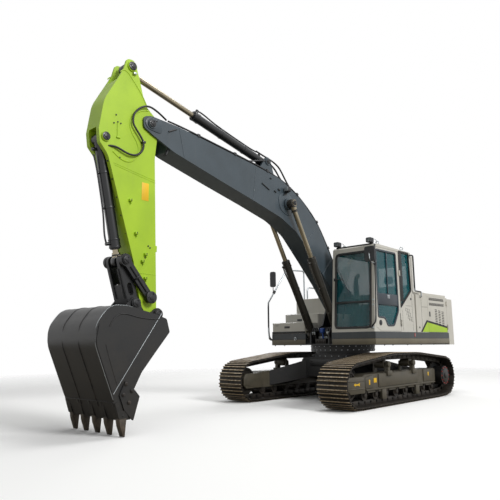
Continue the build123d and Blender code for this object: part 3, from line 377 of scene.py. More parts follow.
@dataclass(frozen=True)
class FinishSet:
    """Every finish on the machine."""

    # Warm light grey of hood, doors and tail: satin, with a breath of dust low down.
    grey: Finish = Finish("warm_grey_enamel", "C3C0B6", "BAB7AC", 0.42, coat=0.15, dust_amount=0.06,
                          streak=0.05)
    # A shade lighter for the cab, so that it stands off the body.
    pale: Finish = Finish("cab_grey_enamel", "C6C4BB", "BDBAB0", 0.40, coat=0.15, dust_amount=0.05,
                          streak=0.04)
    # Blue-black upper skirt: the dark line under the grey panels.
    dark: Finish = Finish("upper_skirt_enamel", "30373B", "2A3034", 0.45, dust_amount=0.10, streak=0.08)
    # Brown-grey lower skirt that ties the house to the earth below.
    taupe: Finish = Finish("lower_skirt_enamel", "67614F", "5C5647", 0.48, dust_amount=0.15)
    # Near-black carbody and deck, kept quiet so that lighter parts read.
    black: Finish = Finish("black_chassis_paint", "0C0E11", "090A0C", 0.42, dust_amount=0.08, dust="4E463C")
    # Earth-tinted track frames, one step lighter than the chain round them.
    chassis: Finish = Finish("track_frame_enamel", "4C483C", "413E34", 0.46, dust_amount=0.18, dust="6E6252")
    # Blue-grey frame of the door glass.
    slate_trim: Finish = Finish("slate_door_trim", "2C353E", "252D35", 0.45, dust_amount=0.05)
    # Warm dark lift cylinders with a slight coat that draws a long highlight.
    barrel: Finish = Finish("cylinder_barrel_paint", "2A2721", "211F1A", 0.40, coat=0.1, dust_amount=0.15)
    # Forged links and bolts: black with a little metal in the glint.
    black_steel: Finish = Finish("black_forged_steel", "1D1E20", "17181A", 0.38, 0.1, dust_amount=0.12)
    # Weld beads: darker than the plate, so that they draw thin lines.
    seam: Finish = Finish("weld_seam_steel", "0E0F10", "17181A", 0.5, 0.2, dust_amount=0.1)
    # Thin bright outlines on the bucket's plate edges: painted highlights, on edges rubbed to bare metal.
    edge: Finish = Finish("rubbed_edge_painted_highlight", "9EA3A6", "868B8E", 0.35, 0.6, dust_amount=0.05)
    # The shiniest black, on arm and bucket cylinders and pin caps.
    gloss_black: Finish = Finish("black_cylinder_paint", "131519", "0D0F11", 0.32, coat=0.1,
                                 dust_amount=0.06)
    # Slate-blue boom: the calm middle tone of the machine.
    slate: Finish = Finish("slate_blue_enamel", "38444C", "303B42", 0.42, coat=0.10, dust_amount=0.04,
                           streak=0.03)
    # Lime arm and field: the one strong colour.
    green: Finish = Finish("lime_green_enamel", "A9CC22", "9DC01E", 0.45, coat=0.0, dust_amount=0.04,
                           streak=0.04)
    # Earthy track plates with a coarse bump that breaks up the light.
    shoe: Finish = Finish("track_shoe_steel", "100D0A", "191510", 0.55, 0.25, dust="3E3428",
                          dust_amount=0.22,
                          cloud_mm=120.0, bump_mm=0.8, grain_mm=9.0)
    # Bar tops worn bright: the rhythm of light lines round the track.
    bar_edge: WornSteel = WornSteel("worn_bar_edge", "8A785E", "A08C6E", 0.40, 0.5, dust="6A5A46",
                                    dust_amount=0.2,
                                    cloud_mm=90.0, wear=0.5, bright="D2C6B0")
    # Dusty forged steel of chain, rollers and small iron.
    chain: Finish = Finish("forged_chain_steel", "201E1C", "2A2724", 0.5, 0.4, dust_amount=0.2,
                           dust="54493D")
    # Dark, slightly metallic bucket plate with a soft mottled sheen.
    bucket: WornSteel = WornSteel("bucket_plate_steel", "17181A", "1E1D1C", 0.40, 0.35, dust="3C362D",
                                  dust_amount=0.20,
                                  cloud_mm=350.0, wear=0.0, bright="3A3936")
    # Teeth ground paler than the bucket by the soil.
    tooth: WornSteel = WornSteel("worn_tooth_steel", "2E2B27", "3A352F", 0.42, 0.6, dust_amount=0.2,
                                 wear=0.25,
                                 bright="6E675C")
    # Hard chrome: the sharpest reflection, with a warm tint painted into its colour for the surroundings it
    # reflects.
    chrome: Finish = Finish("hard_chrome_rod", "A39A86", "8F8672", 0.18, 1.0, dust_amount=0.03, bump_mm=0.02)
    # Galvanised rails and small fittings: light, cool metal.
    rail: Finish = Finish("galvanised_rail", "B0B5B8", "9DA2A5", 0.34, 0.9, dust_amount=0.03)
    # Matt black hoses with a fine grain.
    hose: Finish = Finish("black_hose_rubber", "141517", "1C1D1F", 0.58, dust_amount=0.08, grain_mm=2.0)
    # Seals and slots: the deepest, dullest black; on the vent and grille slots this black is painted shade for
    # their openings.
    rubber_and_slot_shade: Finish = Finish("seal_rubber_and_slot_shade", "0D0E0F", "141516", 0.6, dust_amount=0.05)
    # Moulded parts: soft black with a fine pebble.
    plastic: Finish = Finish("moulded_black_plastic", "17191D", "1E2024", 0.5, dust_amount=0.05,
                             grain_mm=1.5)
    # Blank warning-yellow plates: small warm accents.
    yellow: Finish = Finish("yellow_blank_plate", "EFC21C", "E3B418", 0.5, dust_amount=0.05)
    # Clear-coated grey lenses and the screen: a crisp glint.
    lens: Finish = Finish("lamp_lens", "8E969A", "7C8488", 0.12, coat=1.0, dust_amount=0.03)
    # Glossy red reflectors and lamps.
    red: Finish = Finish("red_lens", "A8201A", "96180F", 0.2, coat=0.6, dust_amount=0.05)
    # Blue lines: one cool accent on the deck.
    blue: Finish = Finish("blue_line_paint", "1F4C9C", "1A4188", 0.45, dust_amount=0.05)
    # Rough cast block in the engine bay.
    iron: Finish = Finish("cast_engine_iron", "35383A", "2A2C2E", 0.6, 0.2, dust_amount=0.2)
    # Near-perfect mirror glass.
    mirror: Finish = Finish("mirror_silver", "E8EAEC", "E0E3E6", 0.04, 1.0, dust_amount=0.0, bump_mm=0.0)
    # Teal-tinted panes, about half see-through.
    glass: WindowGlass = WindowGlass("tinted_cab_glass", "0A5C66", "0F6A70")
    # Dark woven cushions behind the glass.
    cloth: WovenCloth = WovenCloth("woven_seat_cloth", "202227", "2E3138")


FINISH = FinishSet()


# ---------------------------------------------------------------- the bench: shaping with operators

class Bench:
    """Makes, shapes, copies and joins pieces with mesh operators."""

    @staticmethod
    def clear() -> None:
        """Leaves object mode with nothing selected."""
        if bpy.context.object and bpy.context.object.mode != "OBJECT":
            bpy.ops.object.mode_set(mode="OBJECT")
        bpy.ops.object.select_all(action="DESELECT")

    @staticmethod
    def pick(obj: Thing) -> Thing:
        """Selects one object alone and makes it active.

        Args:
            obj: The object.

        Returns:
            The same object.
        """
        Bench.clear()
        obj.select_set(True)
        bpy.context.view_layer.objects.active = obj
        return obj

    @staticmethod
    def settle(obj: Thing) -> Thing:
        """Puts an object's place, turn and size into its mesh.

        Args:
            obj: The object.

        Returns:
            The same object, at the origin.
        """
        Bench.pick(obj)
        bpy.ops.object.transform_apply(location=True, rotation=True, scale=True)
        return obj

    @staticmethod
    def soften(obj: Thing, width: float, segments: int = 2, angle: float = 35.0) -> Thing:
        """Rounds the hard edges with a bevel and shades by angle.

        Args:
            obj: The object.
            width: Bevel width.
            segments: Steps across the bevel.
            angle: Edges sharper than this are rounded.

        Returns:
            The same object.
        """
        Bench.pick(obj)
        if width > 0:
            bevel = obj.modifiers.new("edge", "BEVEL")
            bevel.width = width
            bevel.segments = segments
            bevel.limit_method = "ANGLE"
            bevel.angle_limit = math.radians(angle)
            bpy.ops.object.modifier_apply(modifier=bevel.name)
        bpy.ops.object.shade_smooth_by_angle(angle=math.radians(PLATE_SHADING))
        return obj

    def block(self, low: Point, high: Point, bevel: float = 0.004, segments: int = 2) -> Thing:
        """A bevelled block between two corners.

        Args:
            low: Lowest corner.
            high: Highest corner.
            bevel: Edge width.
            segments: Steps across the edge.

        Returns:
            The block.
        """
        self.clear()
        centre = [(a + b) / 2 for a, b in zip(low, high)]
        bpy.ops.mesh.primitive_cube_add(size=1, location=centre)
        obj = bpy.context.object
        obj.scale = [b - a for a, b in zip(low, high)]
        self.settle(obj)
        return self.soften(obj, bevel, segments)

    def drum(self, start: Point, end: Point, radius: float, sides: int = 32, bevel: float = 0.0,
             far_radius: float | None = None) -> Thing:
        """A round bar, disc or cone between two points.

        Args:
            start: Middle of the first end.
            end: Middle of the second end.
            radius: Radius at the first end.
            sides: Number of sides.
            bevel: Edge width.
            far_radius: Radius at the second end, when it differs.

        Returns:
            The drum.
        """
        self.clear()
        a, b = Vector(start), Vector(end)
        along = b - a
        turn = along.to_track_quat("Z", "Y").to_euler()
        bpy.ops.mesh.primitive_cone_add(vertices=sides, radius1=radius,
                                        radius2=radius if far_radius is None else far_radius,
                                        depth=along.length, location=(a + b) / 2, rotation=turn)
        obj = self.settle(bpy.context.object)
        return self.soften(obj, bevel, 2, ROUND_SHADING)

    def face(self, corners: Sequence[Flat], low: float, axis: str) -> Thing:
        """A flat face cut to an outline, left selected in edit mode.

        Args:
            corners: Outline, as (x, z) for axis Y, (y, z) for axis X or (x, y) for axis Z.
            low: Its place along the axis.
            axis: The axis it faces.

        Returns:
            The face.
        """
        self.clear()
        bpy.ops.mesh.primitive_circle_add(vertices=len(corners), radius=1, fill_type="NGON")
        obj = bpy.context.object
        place = {"X": lambda u, v: (low, u, v),
                 "Y": lambda u, v: (u, low, v),
                 "Z": lambda u, v: (u, v, low)}[axis]
        for vertex, corner in zip(obj.data.vertices, corners):
            vertex.co = place(*corner)
        bpy.ops.object.mode_set(mode="EDIT")
        bpy.ops.mesh.select_all(action="SELECT")
        return obj

    @staticmethod
    def thicken(depth: float, axis: str) -> None:
        """Extrudes all that is in edit mode along an axis, turns its faces outwards and leaves edit mode.

        Args:
            depth: Length of the extrusion.
            axis: Its direction.
        """
        shift = {"X": (depth, 0, 0), "Y": (0, depth, 0), "Z": (0, 0, depth)}[axis]
        bpy.ops.mesh.select_all(action="SELECT")
        bpy.ops.mesh.extrude_region_move(TRANSFORM_OT_translate={"value": shift})
        bpy.ops.mesh.select_all(action="SELECT")
        bpy.ops.mesh.normals_make_consistent(inside=False)
        bpy.ops.object.mode_set(mode="OBJECT")

    def plate(self, corners: Sequence[Flat], low: float, high: float, bevel: float = 0.003,
              axis: str = "Y") -> Thing:
        """A flat plate cut to an outline and given its thickness by extrusion.

        Args:
            corners: Outline, as (x, z) for axis Y, (y, z) for axis X or (x, y) for axis Z.
            low: Lower face along the axis.
            high: Upper face along the axis.
            bevel: Edge width.
            axis: Direction of the thickness.

        Returns:
            The plate.
        """
        obj = self.face(corners, low, axis)
        self.thicken(high - low, axis)
        return self.soften(obj, bevel)

    def bar(self, points: Sequence[Point], radius: float, sides: int = 3, smooth: bool = True) -> Thing:
        """A hose, pipe or rail along a smooth line.

        Args:
            points: Control points.
            radius: Radius.
            sides: Bevel resolution.
            smooth: A smooth curve, or straight runs.

        Returns:
            The bar, as a mesh.
        """
        self.clear()
        curve = bpy.data.curves.new("line", "CURVE")
        curve.dimensions = "3D"
        curve.bevel_depth = radius
        curve.bevel_resolution = sides
        curve.use_fill_caps = True
        spline = curve.splines.new("NURBS" if smooth else "POLY")
        spline.points.add(len(points) - 1)
        for target, point in zip(spline.points, points):
            target.co = (*point, 1.0)
        if smooth:
            spline.order_u = min(4, len(points))
            spline.use_endpoint_u = True
            spline.resolution_u = 6
        obj = bpy.data.objects.new("line", curve)
        bpy.context.collection.objects.link(obj)
        self.pick(obj)
        bpy.ops.object.convert(target="MESH")
        obj = bpy.context.object
        bpy.ops.object.shade_smooth_by_angle(angle=math.radians(ROUND_SHADING))
        return obj

    def ring(self, centre: Point, axis: Point, radius: float, thick: float, sides: int = 40) -> Thing:
        """A round bead or seal.

        Args:
            centre: Middle.
            axis: Direction of its axis.
            radius: Ring radius.
            thick: Section radius.
            sides: Steps round the ring.

        Returns:
            The ring.
        """
        self.clear()
        turn = Vector(axis).to_track_quat("Z", "Y").to_euler()
        bpy.ops.mesh.primitive_torus_add(major_radius=radius, minor_radius=thick, major_segments=sides,
                                         minor_segments=8,
                                         location=centre, rotation=turn)
        obj = self.settle(bpy.context.object)
        bpy.ops.object.shade_smooth()
        return obj

    @staticmethod
    def touch(node: Thing, start: Point, target: Point, lift: float = 0.0) -> Point:
        """Where a line from outside first meets a solid.

        Args:
            node: The solid.
            start: A point outside it.
            target: The point aimed at.
            lift: Distance kept above the surface, towards the start.

        Returns:
            The place, or the target where nothing is met.
        """
        way = (Vector(target) - Vector(start)).normalized()
        inward = node.matrix_world.inverted()
        met, place, _, _ = node.ray_cast(inward @ Vector(start), (inward.to_3x3() @ way).normalized())
        if not met:
            return target
        return tuple(node.matrix_world @ place - way * lift)

    @staticmethod
    def copy(obj: Thing, matrix: Matrix) -> Thing:
        """A copy with a mesh of its own, moved by a matrix.

        Args:
            obj: The pattern.
            matrix: Its move.

        Returns:
            The copy.
        """
        twin = obj.copy()
        twin.data = obj.data.copy()
        twin.data.transform(matrix)
        if matrix.determinant() < 0:
            twin.data.flip_normals()
        bpy.context.collection.objects.link(twin)
        return twin

    def mirrored(self, obj: Thing) -> Thing:
        """A copy on the other side of the centre plane.

        Args:
            obj: The pattern.

        Returns:
            The piece.
        """
        return self.copy(obj, Matrix.Scale(-1, 4, (0, 1, 0)))

    def row(self, obj: Thing, places: Iterable[Point]) -> list[Thing]:
        """The pattern and its copies at offsets from it.

        Args:
            obj: The pattern.
            places: Offsets of the copies.

        Returns:
            The pattern and its copies.
        """
        return [obj] + [self.copy(obj, Matrix.Translation(place)) for place in places]

    def around(self, obj: Thing, centre: Point, axis: Point, count: int) -> list[Thing]:
        """The pattern and its copies round an axis.

        Args:
            obj: The pattern.
            centre: A point on the axis.
            axis: The axis.
            count: Number in all.

        Returns:
            The pattern and its copies.
        """
        middle = Matrix.Translation(centre)
        made = [obj]
        for k in range(1, count):
            made.append(self.copy(obj,
                                  middle @ Matrix.Rotation(math.tau * k / count, 4,
                                                           Vector(axis)) @ middle.inverted()))
        return made

    def join(self, pieces: Sequence[Thing]) -> Thing:
        """Joins several meshes into one.

        Args:
            pieces: The meshes.

        Returns:
            The joined mesh.
        """
        self.clear()
        for piece in pieces:
            piece.select_set(True)
        bpy.context.view_layer.objects.active = pieces[0]
        if len(pieces) > 1:
            bpy.ops.object.join()
        return bpy.context.view_layer.objects.active


BENCH = Bench()


def hand_over(name: str, pieces: Thing | Sequence[Thing], body: Body | None, finish: Finish,
              replaces: Sequence[str] = ()) -> Thing:
    """Joins, names, paints and seats one finished piece.

    Args:
        name: The piece's name.
        pieces: Its mesh or meshes.
        body: The body it rides on, or None to leave it on no body.
        finish: Its finish.
        replaces: Plain solids that it stands for.

    Returns:
        The finished piece.
    """
    obj = BENCH.join(list(pieces)) if isinstance(pieces, (list, tuple)) else pieces
    obj.name = name
    obj.data.name = name
    obj.data.materials.clear()
    obj.data.materials.append(finish.material())
    for polygon in obj.data.polygons:
        polygon.material_index = 0
    if body:
        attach(obj, body.value)
    if replaces:
        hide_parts(*replaces)
    LOG.info("%s: %d faces", name, len(obj.data.polygons))
    return obj


# ---------------------------------------------------------------- running gear

@dataclass
class TrackBelt:
    """The two track chains with their triple-bar shoes, one shoe modelled and copied round the loop."""

    gauge: float = 2.38
    shoe_width: float = 0.599
    count: int = 47
    inset: float = 0.037
    plate_half: float = 0.007
    bar_top: float = 0.0352
    link_depth: float = 0.092
    chain_half: float = 0.095
    circles: tuple[tuple[float, float, float], ...] = (
        (1.820, 0.400, 0.400), (0.560, 0.740, 0.200), (-0.440, 0.740, 0.200), (-1.720, 0.425, 0.405),
        (-1.290, 0.200, 0.200), (1.370, 0.200, 0.200))

    def pins(self) -> list[Vector]:
        """Chain pins at equal steps round the belt, as (x, 0, z).

        Returns:
            One point per shoe.
        """
        runs = []
        for (x0, z0, r0), (x1, z1, r1) in zip(self.circles, self.circles[1:] + self.circles[:1]):
            r0, r1 = r0 - self.inset, r1 - self.inset
            span = math.hypot(x1 - x0, z1 - z0)
            away = math.atan2(z1 - z0, x1 - x0) - math.pi / 2 - math.asin((r1 - r0) / span)
            normal = (math.cos(away), math.sin(away))
            start = (x0 + normal[0] * r0, z0 + normal[1] * r0)
            end = (x1 + normal[0] * r1, z1 + normal[1] * r1)
            runs.append((start, end, away))
        points: list[Flat] = []
        for k, (start, end, away) in enumerate(runs):
            points += [start, end]
            x, z, radius = self.circles[(k + 1) % len(self.circles)]
            radius -= self.inset
            turn = (runs[(k + 1) % len(runs)][2] - away) % math.tau
            if turn > math.pi:
                turn -= math.tau
            steps = max(2, int(abs(turn) / 0.02))
            points += [(x + radius * math.cos(away + turn * s / steps),
                        z + radius * math.sin(away + turn * s / steps))
                       for s in range(1, steps)]
        lengths = [math.dist(a, b) for a, b in zip(points, points[1:] + points[:1])]
        step = sum(lengths) / self.count
        found, walked, target = [], 0.0, 0.0
        for a, b, length in zip(points, points[1:] + points[:1], lengths):
            while length > 0 and target <= walked + length and len(found) < self.count:
                share = (target - walked) / length
                found.append(Vector((a[0] + (b[0] - a[0]) * share, 0.0, a[1] + (b[1] - a[1]) * share)))
                target += step
            walked += length
        return found

    def shoe(self, pitch: float) -> Thing:
        """One shoe lying flat: plate, three bars and four bolts.

        Args:
            pitch: Distance between two chain pins.

        Returns:
            The shoe, its plate's middle at the origin.
        """
        half, low, high, top = pitch / 2 - 0.002, -self.plate_half, self.plate_half, self.bar_top
        profile = [(-half, low), (half, low), (half, 0.004), (half - 0.011, high)]
        for middle in (0.073, 0.0, -0.073):
            profile += [(middle + 0.014, high), (middle + 0.008, top), (middle - 0.008, top),
                        (middle - 0.014, high)]
        profile += [(-half + 0.011, high), (-half, 0.004)]
        plate = BENCH.plate(profile, -self.shoe_width / 2, self.shoe_width / 2, 0.0025)
        bolt = BENCH.drum((0.036, 0.062, high - 0.001), (0.036, 0.062, high + 0.014), 0.015, 6)
        bolts = BENCH.row(bolt, [(-0.072, 0, 0), (0, -0.124, 0), (-0.072, -0.124, 0)])
        return BENCH.join([plate, *bolts])

    def bar_edges(self, pitch: float) -> Thing:
        """The rubbed top edges of one shoe's three bars and its leading lip.

        Args:
            pitch: Distance between two chain pins.

        Returns:
            The four strips.
        """
        reach, top = self.shoe_width / 2 + 0.0004, self.bar_top
        strips = [BENCH.block((x - 0.0092, -reach, top - 0.005), (x + 0.0092, reach, top + 0.0004), 0.0012,
                              1)
                  for x in (-0.073, 0.0, 0.073)]
        strips.append(BENCH.block((pitch / 2 - 0.0065, -reach, -0.006), (pitch / 2 - 0.0012, reach, 0.0052),
                                  0.001, 1))
        return BENCH.join(strips)

    def link(self, pitch: float) -> Thing:
        """The two forged links under a shoe and one bushing between them.

        Args:
            pitch: Distance between two chain pins.

        Returns:
            The link pair.
        """
        half, low, top = pitch / 2, -self.plate_half - self.link_depth, -self.plate_half
        side = [(-half - 0.020, top - 0.025), (-half + 0.030, top), (half - 0.030, top),
                (half + 0.020, top - 0.025),
                (half + 0.026, low + 0.030), (half - 0.010, low + 0.002), (-half + 0.010, low + 0.002),
                (-half - 0.026, low + 0.030)]
        rail = BENCH.plate(side, self.chain_half - 0.024, self.chain_half - 0.002, 0.004)
        other = BENCH.mirrored(rail)
        bushing = BENCH.drum((half, -self.chain_half + 0.01, low + 0.045),
                             (half, self.chain_half - 0.01, low + 0.045),
                             0.026, 12)
        return BENCH.join([rail, other, bushing])

    def build(self) -> None:
        """Lays both tracks."""
        pins = self.pins()
        pairs = list(zip(pins, pins[1:] + pins[:1]))
        pitch = sum((b - a).length for a, b in pairs) / len(pairs)
        kinds = (("shoes", self.shoe, FINISH.shoe), ("bar_edges", self.bar_edges, FINISH.bar_edge),
                 ("chain", self.link, FINISH.chain))
        for kind, make, finish in kinds:
            pattern = make(pitch)
            for side, y in (("left", self.gauge / 2), ("right", -self.gauge / 2)):
                made = []
                for a, b in pairs:
                    along = (b - a).normalized()
                    out = along.cross(Vector((0, 1, 0))) * -1
                    middle = (a + b) / 2
                    if out.dot(middle - Vector((0.05, 0, 0.42))) < 0:
                        out = -out
                    across = out.cross(along)
                    turn = Matrix((along, across, out)).transposed().to_4x4()
                    made.append(BENCH.copy(pattern, Matrix.Translation(middle + Vector((0, y, 0))) @ turn))
                hand_over(f"track_{kind}_{side}", made, Body.TRACKS, finish,
                          (f"track_{side}",) if kind == "shoes" else ())
            bpy.data.objects.remove(pattern)


@dataclass
class RunningGear:
    """Cast and bolted detail on the track frames, idlers, sprockets, final drives, slew ring and carbody."""

    gauge: float = 2.38
    frame_half: float = 0.150
    carriers: tuple[float, float] = (0.560, -0.440)
    idler: Flat = (1.820, 0.400)
    sprocket: Flat = (-1.720, 0.425)

    def covers(self, side: int) -> list[Thing]:
        """Raised side panels, guards and ribs on the outer face of one frame.

        Args:
            side: 1 for the left frame, -1 for the right.

        Returns:
            The pieces.
        """
        face = self.gauge / 2 + self.frame_half
        made = []
        panels = (((1.13, 0.335), (1.40, 0.335), (1.40, 0.520), (1.13, 0.555)),
                  ((-0.62, 0.335), (0.93, 0.335), (0.93, 0.562), (-0.62, 0.575)),
                  ((-1.28, 0.335), (-0.88, 0.335), (-0.88, 0.578), (-1.28, 0.580)))
        for panel in panels:
            made.append(BENCH.plate(panel, face - 0.004, face + 0.016, 0.007))
        guard = ((1.43, 0.262), (1.90, 0.262), (1.99, 0.33), (1.99, 0.47), (1.92, 0.545), (1.43, 0.545))
        made.append(BENCH.plate(guard, face - 0.006, face + 0.030, 0.014))
        for z in (0.335, 0.465):
            made.append(BENCH.block((1.46, face + 0.02, z), (1.955, face + 0.042, z + 0.022), 0.008))
        made.append(BENCH.block((-1.37, face - 0.02, 0.296), (1.395, face + 0.036, 0.322), 0.006))
        for x in (0.755, -0.580):
            made.append(BENCH.block((x - 0.075, face - 0.05, 0.115), (x + 0.075, face + 0.022, 0.302),
                                    0.008))
        for x in self.carriers:
            made.append(BENCH.block((x - 0.085, face - 0.045, 0.520), (x + 0.085, face + 0.052, 0.612),
                                    0.012))
            made.append(BENCH.drum((x, face - 0.02, 0.729), (x, face + 0.045, 0.729), 0.056, 28, 0.008))
            made.append(BENCH.plate(((x - 0.05, 0.60), (x + 0.05, 0.60), (x + 0.035, 0.70),
                                     (x - 0.035, 0.70)),
                                    face - 0.03, face + 0.03, 0.006))
        made.append(BENCH.plate(((1.43, 0.262), (1.60, 0.262), (1.99, 0.33), (1.99, 0.47), (1.92, 0.545),
                                 (1.43, 0.545)),
                                self.gauge / 2 - 0.182, self.gauge / 2 - 0.168, 0.006))
        flip = Matrix.Identity(4) if side > 0 else Matrix.Scale(-1, 4, (0, 1, 0))
        placed = [BENCH.copy(piece, flip) for piece in made]
        for piece in made:
            bpy.data.objects.remove(piece)
        return placed

    def bolts(self) -> Thing:
        """Bolt heads and end caps of the bottom rollers, both sides.

        Returns:
            The piece.
        """
        face = self.gauge / 2 + self.frame_half
        head = BENCH.drum((0, face - 0.01, 0), (0, face + 0.020, 0), 0.014, 6)
        places: list[Point] = []
        step = (LAST_ROLLER - FIRST_ROLLER) / (ROLLERS - 1)
        for k in range(ROLLERS):
            x = FIRST_ROLLER + k * step
            places += [(x - 0.034, 0, 0.272), (x + 0.034, 0, 0.272)]
        made = [BENCH.copy(head, Matrix.Translation(p)) for p in places]
        cap = BENCH.drum((0, face - 0.035, 0.211), (0, face - 0.002, 0.211), 0.040, 20, 0.006)
        made += [BENCH.copy(cap,
                            Matrix.Translation((FIRST_ROLLER + k * step, 0, 0))) for k in range(ROLLERS)]
        for thing in (head, cap):
            bpy.data.objects.remove(thing)
        mirrored = [BENCH.mirrored(piece) for piece in made]
        return BENCH.join(made + mirrored)

    def final_drives(self) -> Thing:
        """Step and hub on both final drive covers.

        Returns:
            The piece.
        """
        x, z = self.sprocket
        face = self.gauge / 2 + 0.250
        step = BENCH.drum((x, face - 0.01, z), (x, face + 0.018, z), 0.150, 44, 0.010)
        hub = BENCH.drum((x, face, z), (x, face + 0.034, z), 0.060, 32, 0.008)
        left = BENCH.join([step, hub])
        return BENCH.join([left, BENCH.mirrored(left)])

    def drive_bolts(self) -> Thing:
        """Ring of painted bolts on both final drive covers.

        Returns:
            The piece.
        """
        x, z = self.sprocket
        face = self.gauge / 2 + 0.250
        bolt = BENCH.drum((x + 0.172, face - 0.004, z), (x + 0.172, face + 0.016, z), 0.013, 6)
        left = BENCH.join(BENCH.around(bolt, (x, 0, z), (0, 1, 0), DRIVE_BOLTS))
        return BENCH.join([left, BENCH.mirrored(left)])

    def sprocket_teeth(self) -> Thing:
        """Toothed rims outside the plain sprocket discs.

        Returns:
            The piece.
        """
        x, z = self.sprocket
        tooth = BENCH.plate(((x + 0.24, z - 0.050), (x + 0.305, z - 0.018), (x + 0.305, z + 0.018),
                             (x + 0.24, z + 0.050)),
                            self.gauge / 2 - 0.034, self.gauge / 2 + 0.034, 0.005)
        ring = BENCH.around(tooth, (x, 0, z), (0, 1, 0), SPROCKET_TEETH)
        left = BENCH.join(ring)
        return BENCH.join([left, BENCH.mirrored(left)])

    def idler_faces(self) -> Thing:
        """Bead, hub and six ribs on the outer and inner sides of both idlers.

        Returns:
            The piece.
        """
        x, z = self.idler
        made = []
        for low, high in ((0.078, 0.094), (-0.094, -0.078)):
            y0, y1 = self.gauge / 2 + low, self.gauge / 2 + high
            made.append(BENCH.ring((x, (y0 + y1) / 2, z), (0, 1, 0), 0.225, 0.016, 48))
            made.append(BENCH.drum((x, y0, z), (x, y1, z), 0.095, 32, 0.006))
            rib = BENCH.block((x + 0.085, y0, z - 0.012), (x + 0.225, y1 - 0.003, z + 0.012), 0.004)
            made += BENCH.around(rib, (x, 0, z), (0, 1, 0), 6)
        left = BENCH.join(made)
        return BENCH.join([left, BENCH.mirrored(left)])

    def ring_bolts(self) -> list[Thing]:
        """Bolt heads round the slew ring: plugs and lower screws on the turning race, studs on the pedestal.

        Returns:
            The turning bolts and the fixed bolts.
        """
        plug = BENCH.drum((0.660, 0, 1.062), (0.674, 0, 1.062), 0.008, 8)
        plugs = BENCH.around(plug, (0, 0, 0), (0, 0, 1), RING_PLUGS)
        screw = BENCH.drum((0.655, 0.02, 0.990), (0.672, 0.02, 0.990), 0.009, 6)
        screws = BENCH.around(screw, (0, 0, 0), (0, 0, 1), RING_SCREWS)
        stud = BENCH.drum((0.634, 0, 0.868), (0.648, 0, 0.868), 0.008, 8)
        studs = BENCH.around(stud, (0, 0, 0), (0, 0, 1), RING_STUDS)
        return [BENCH.join(plugs + screws), BENCH.join(studs)]

    def carbody_ribs(self) -> Thing:
        """Cover plates on the carbody's front and rear, their bolts and two gussets under the tow plate.

        Returns:
            The piece.
        """
        made = [BENCH.block((0.612, -0.40, 0.66), (0.632, 0.40, 0.80), 0.006),
                BENCH.block((-0.632, -0.34, 0.52), (-0.612, 0.34, 0.80), 0.006)]
        bolt = BENCH.drum((0.630, 0.36, 0.70), (0.642, 0.36, 0.70), 0.012, 6)
        made += BENCH.row(bolt,
                          [(0, -0.72, 0), (0, 0, 0.06), (0, -0.72, 0.06), (0, -0.36, 0), (0, -0.36, 0.06)])
        for sign in (-1, 1):
            made.append(BENCH.block((0.60, sign * 0.075 - 0.010, 0.48), (0.66, sign * 0.075 + 0.010, 0.545),
                                    0.004))
        return BENCH.join(made)

    def build(self) -> None:
        """Builds and hands over every piece of the running gear."""
        for name, side in (("left", 1), ("right", -1)):
            hand_over(f"frame_covers_{name}", self.covers(side), Body.TRACKS, FINISH.chassis)
        hand_over("roller_bolts", self.bolts(), Body.TRACKS, FINISH.chain)
        hand_over("final_drive_covers", self.final_drives(), Body.TRACKS, FINISH.black)
        hand_over("final_drive_bolts", self.drive_bolts(), Body.TRACKS, FINISH.red)
        hand_over("sprocket_teeth", self.sprocket_teeth(), Body.TRACKS, FINISH.chain)
        hand_over("idler_webs", self.idler_faces(), Body.TRACKS, FINISH.chain)
        turning, fixed = self.ring_bolts()
        hand_over("slew_ring_bolts", turning, Body.HOUSE, FINISH.rail)
        hand_over("pedestal_studs", fixed, Body.TRACKS, FINISH.rail)
        hand_over("carbody_ribs", self.carbody_ribs(), Body.TRACKS, FINISH.black)
        face = self.gauge / 2 + self.frame_half
        arrow = ((1.800, 0.418), (1.750, 0.445), (1.750, 0.428), (1.660, 0.428), (1.610, 0.447),
                 (1.620, 0.418),
                 (1.610, 0.389), (1.660, 0.408), (1.750, 0.408), (1.750, 0.391))
        plates = [BENCH.plate(arrow, face + 0.030, face + 0.034, 0.0),
                  BENCH.block((1.240, face + 0.014, 0.395), (1.278, face + 0.019, 0.480), 0.002),
                  BENCH.block((0.985, face - 0.002, 0.420), (1.085, face + 0.004, 0.500), 0.002),
                  BENCH.block((-1.110, face + 0.014, 0.445), (-1.070, face + 0.019, 0.520), 0.002)]
        plates += [BENCH.mirrored(plate) for plate in plates]
        hand_over("blank_yellow_frame_plates", plates, Body.TRACKS, FINISH.yellow)


# ---------------------------------------------------------------- house

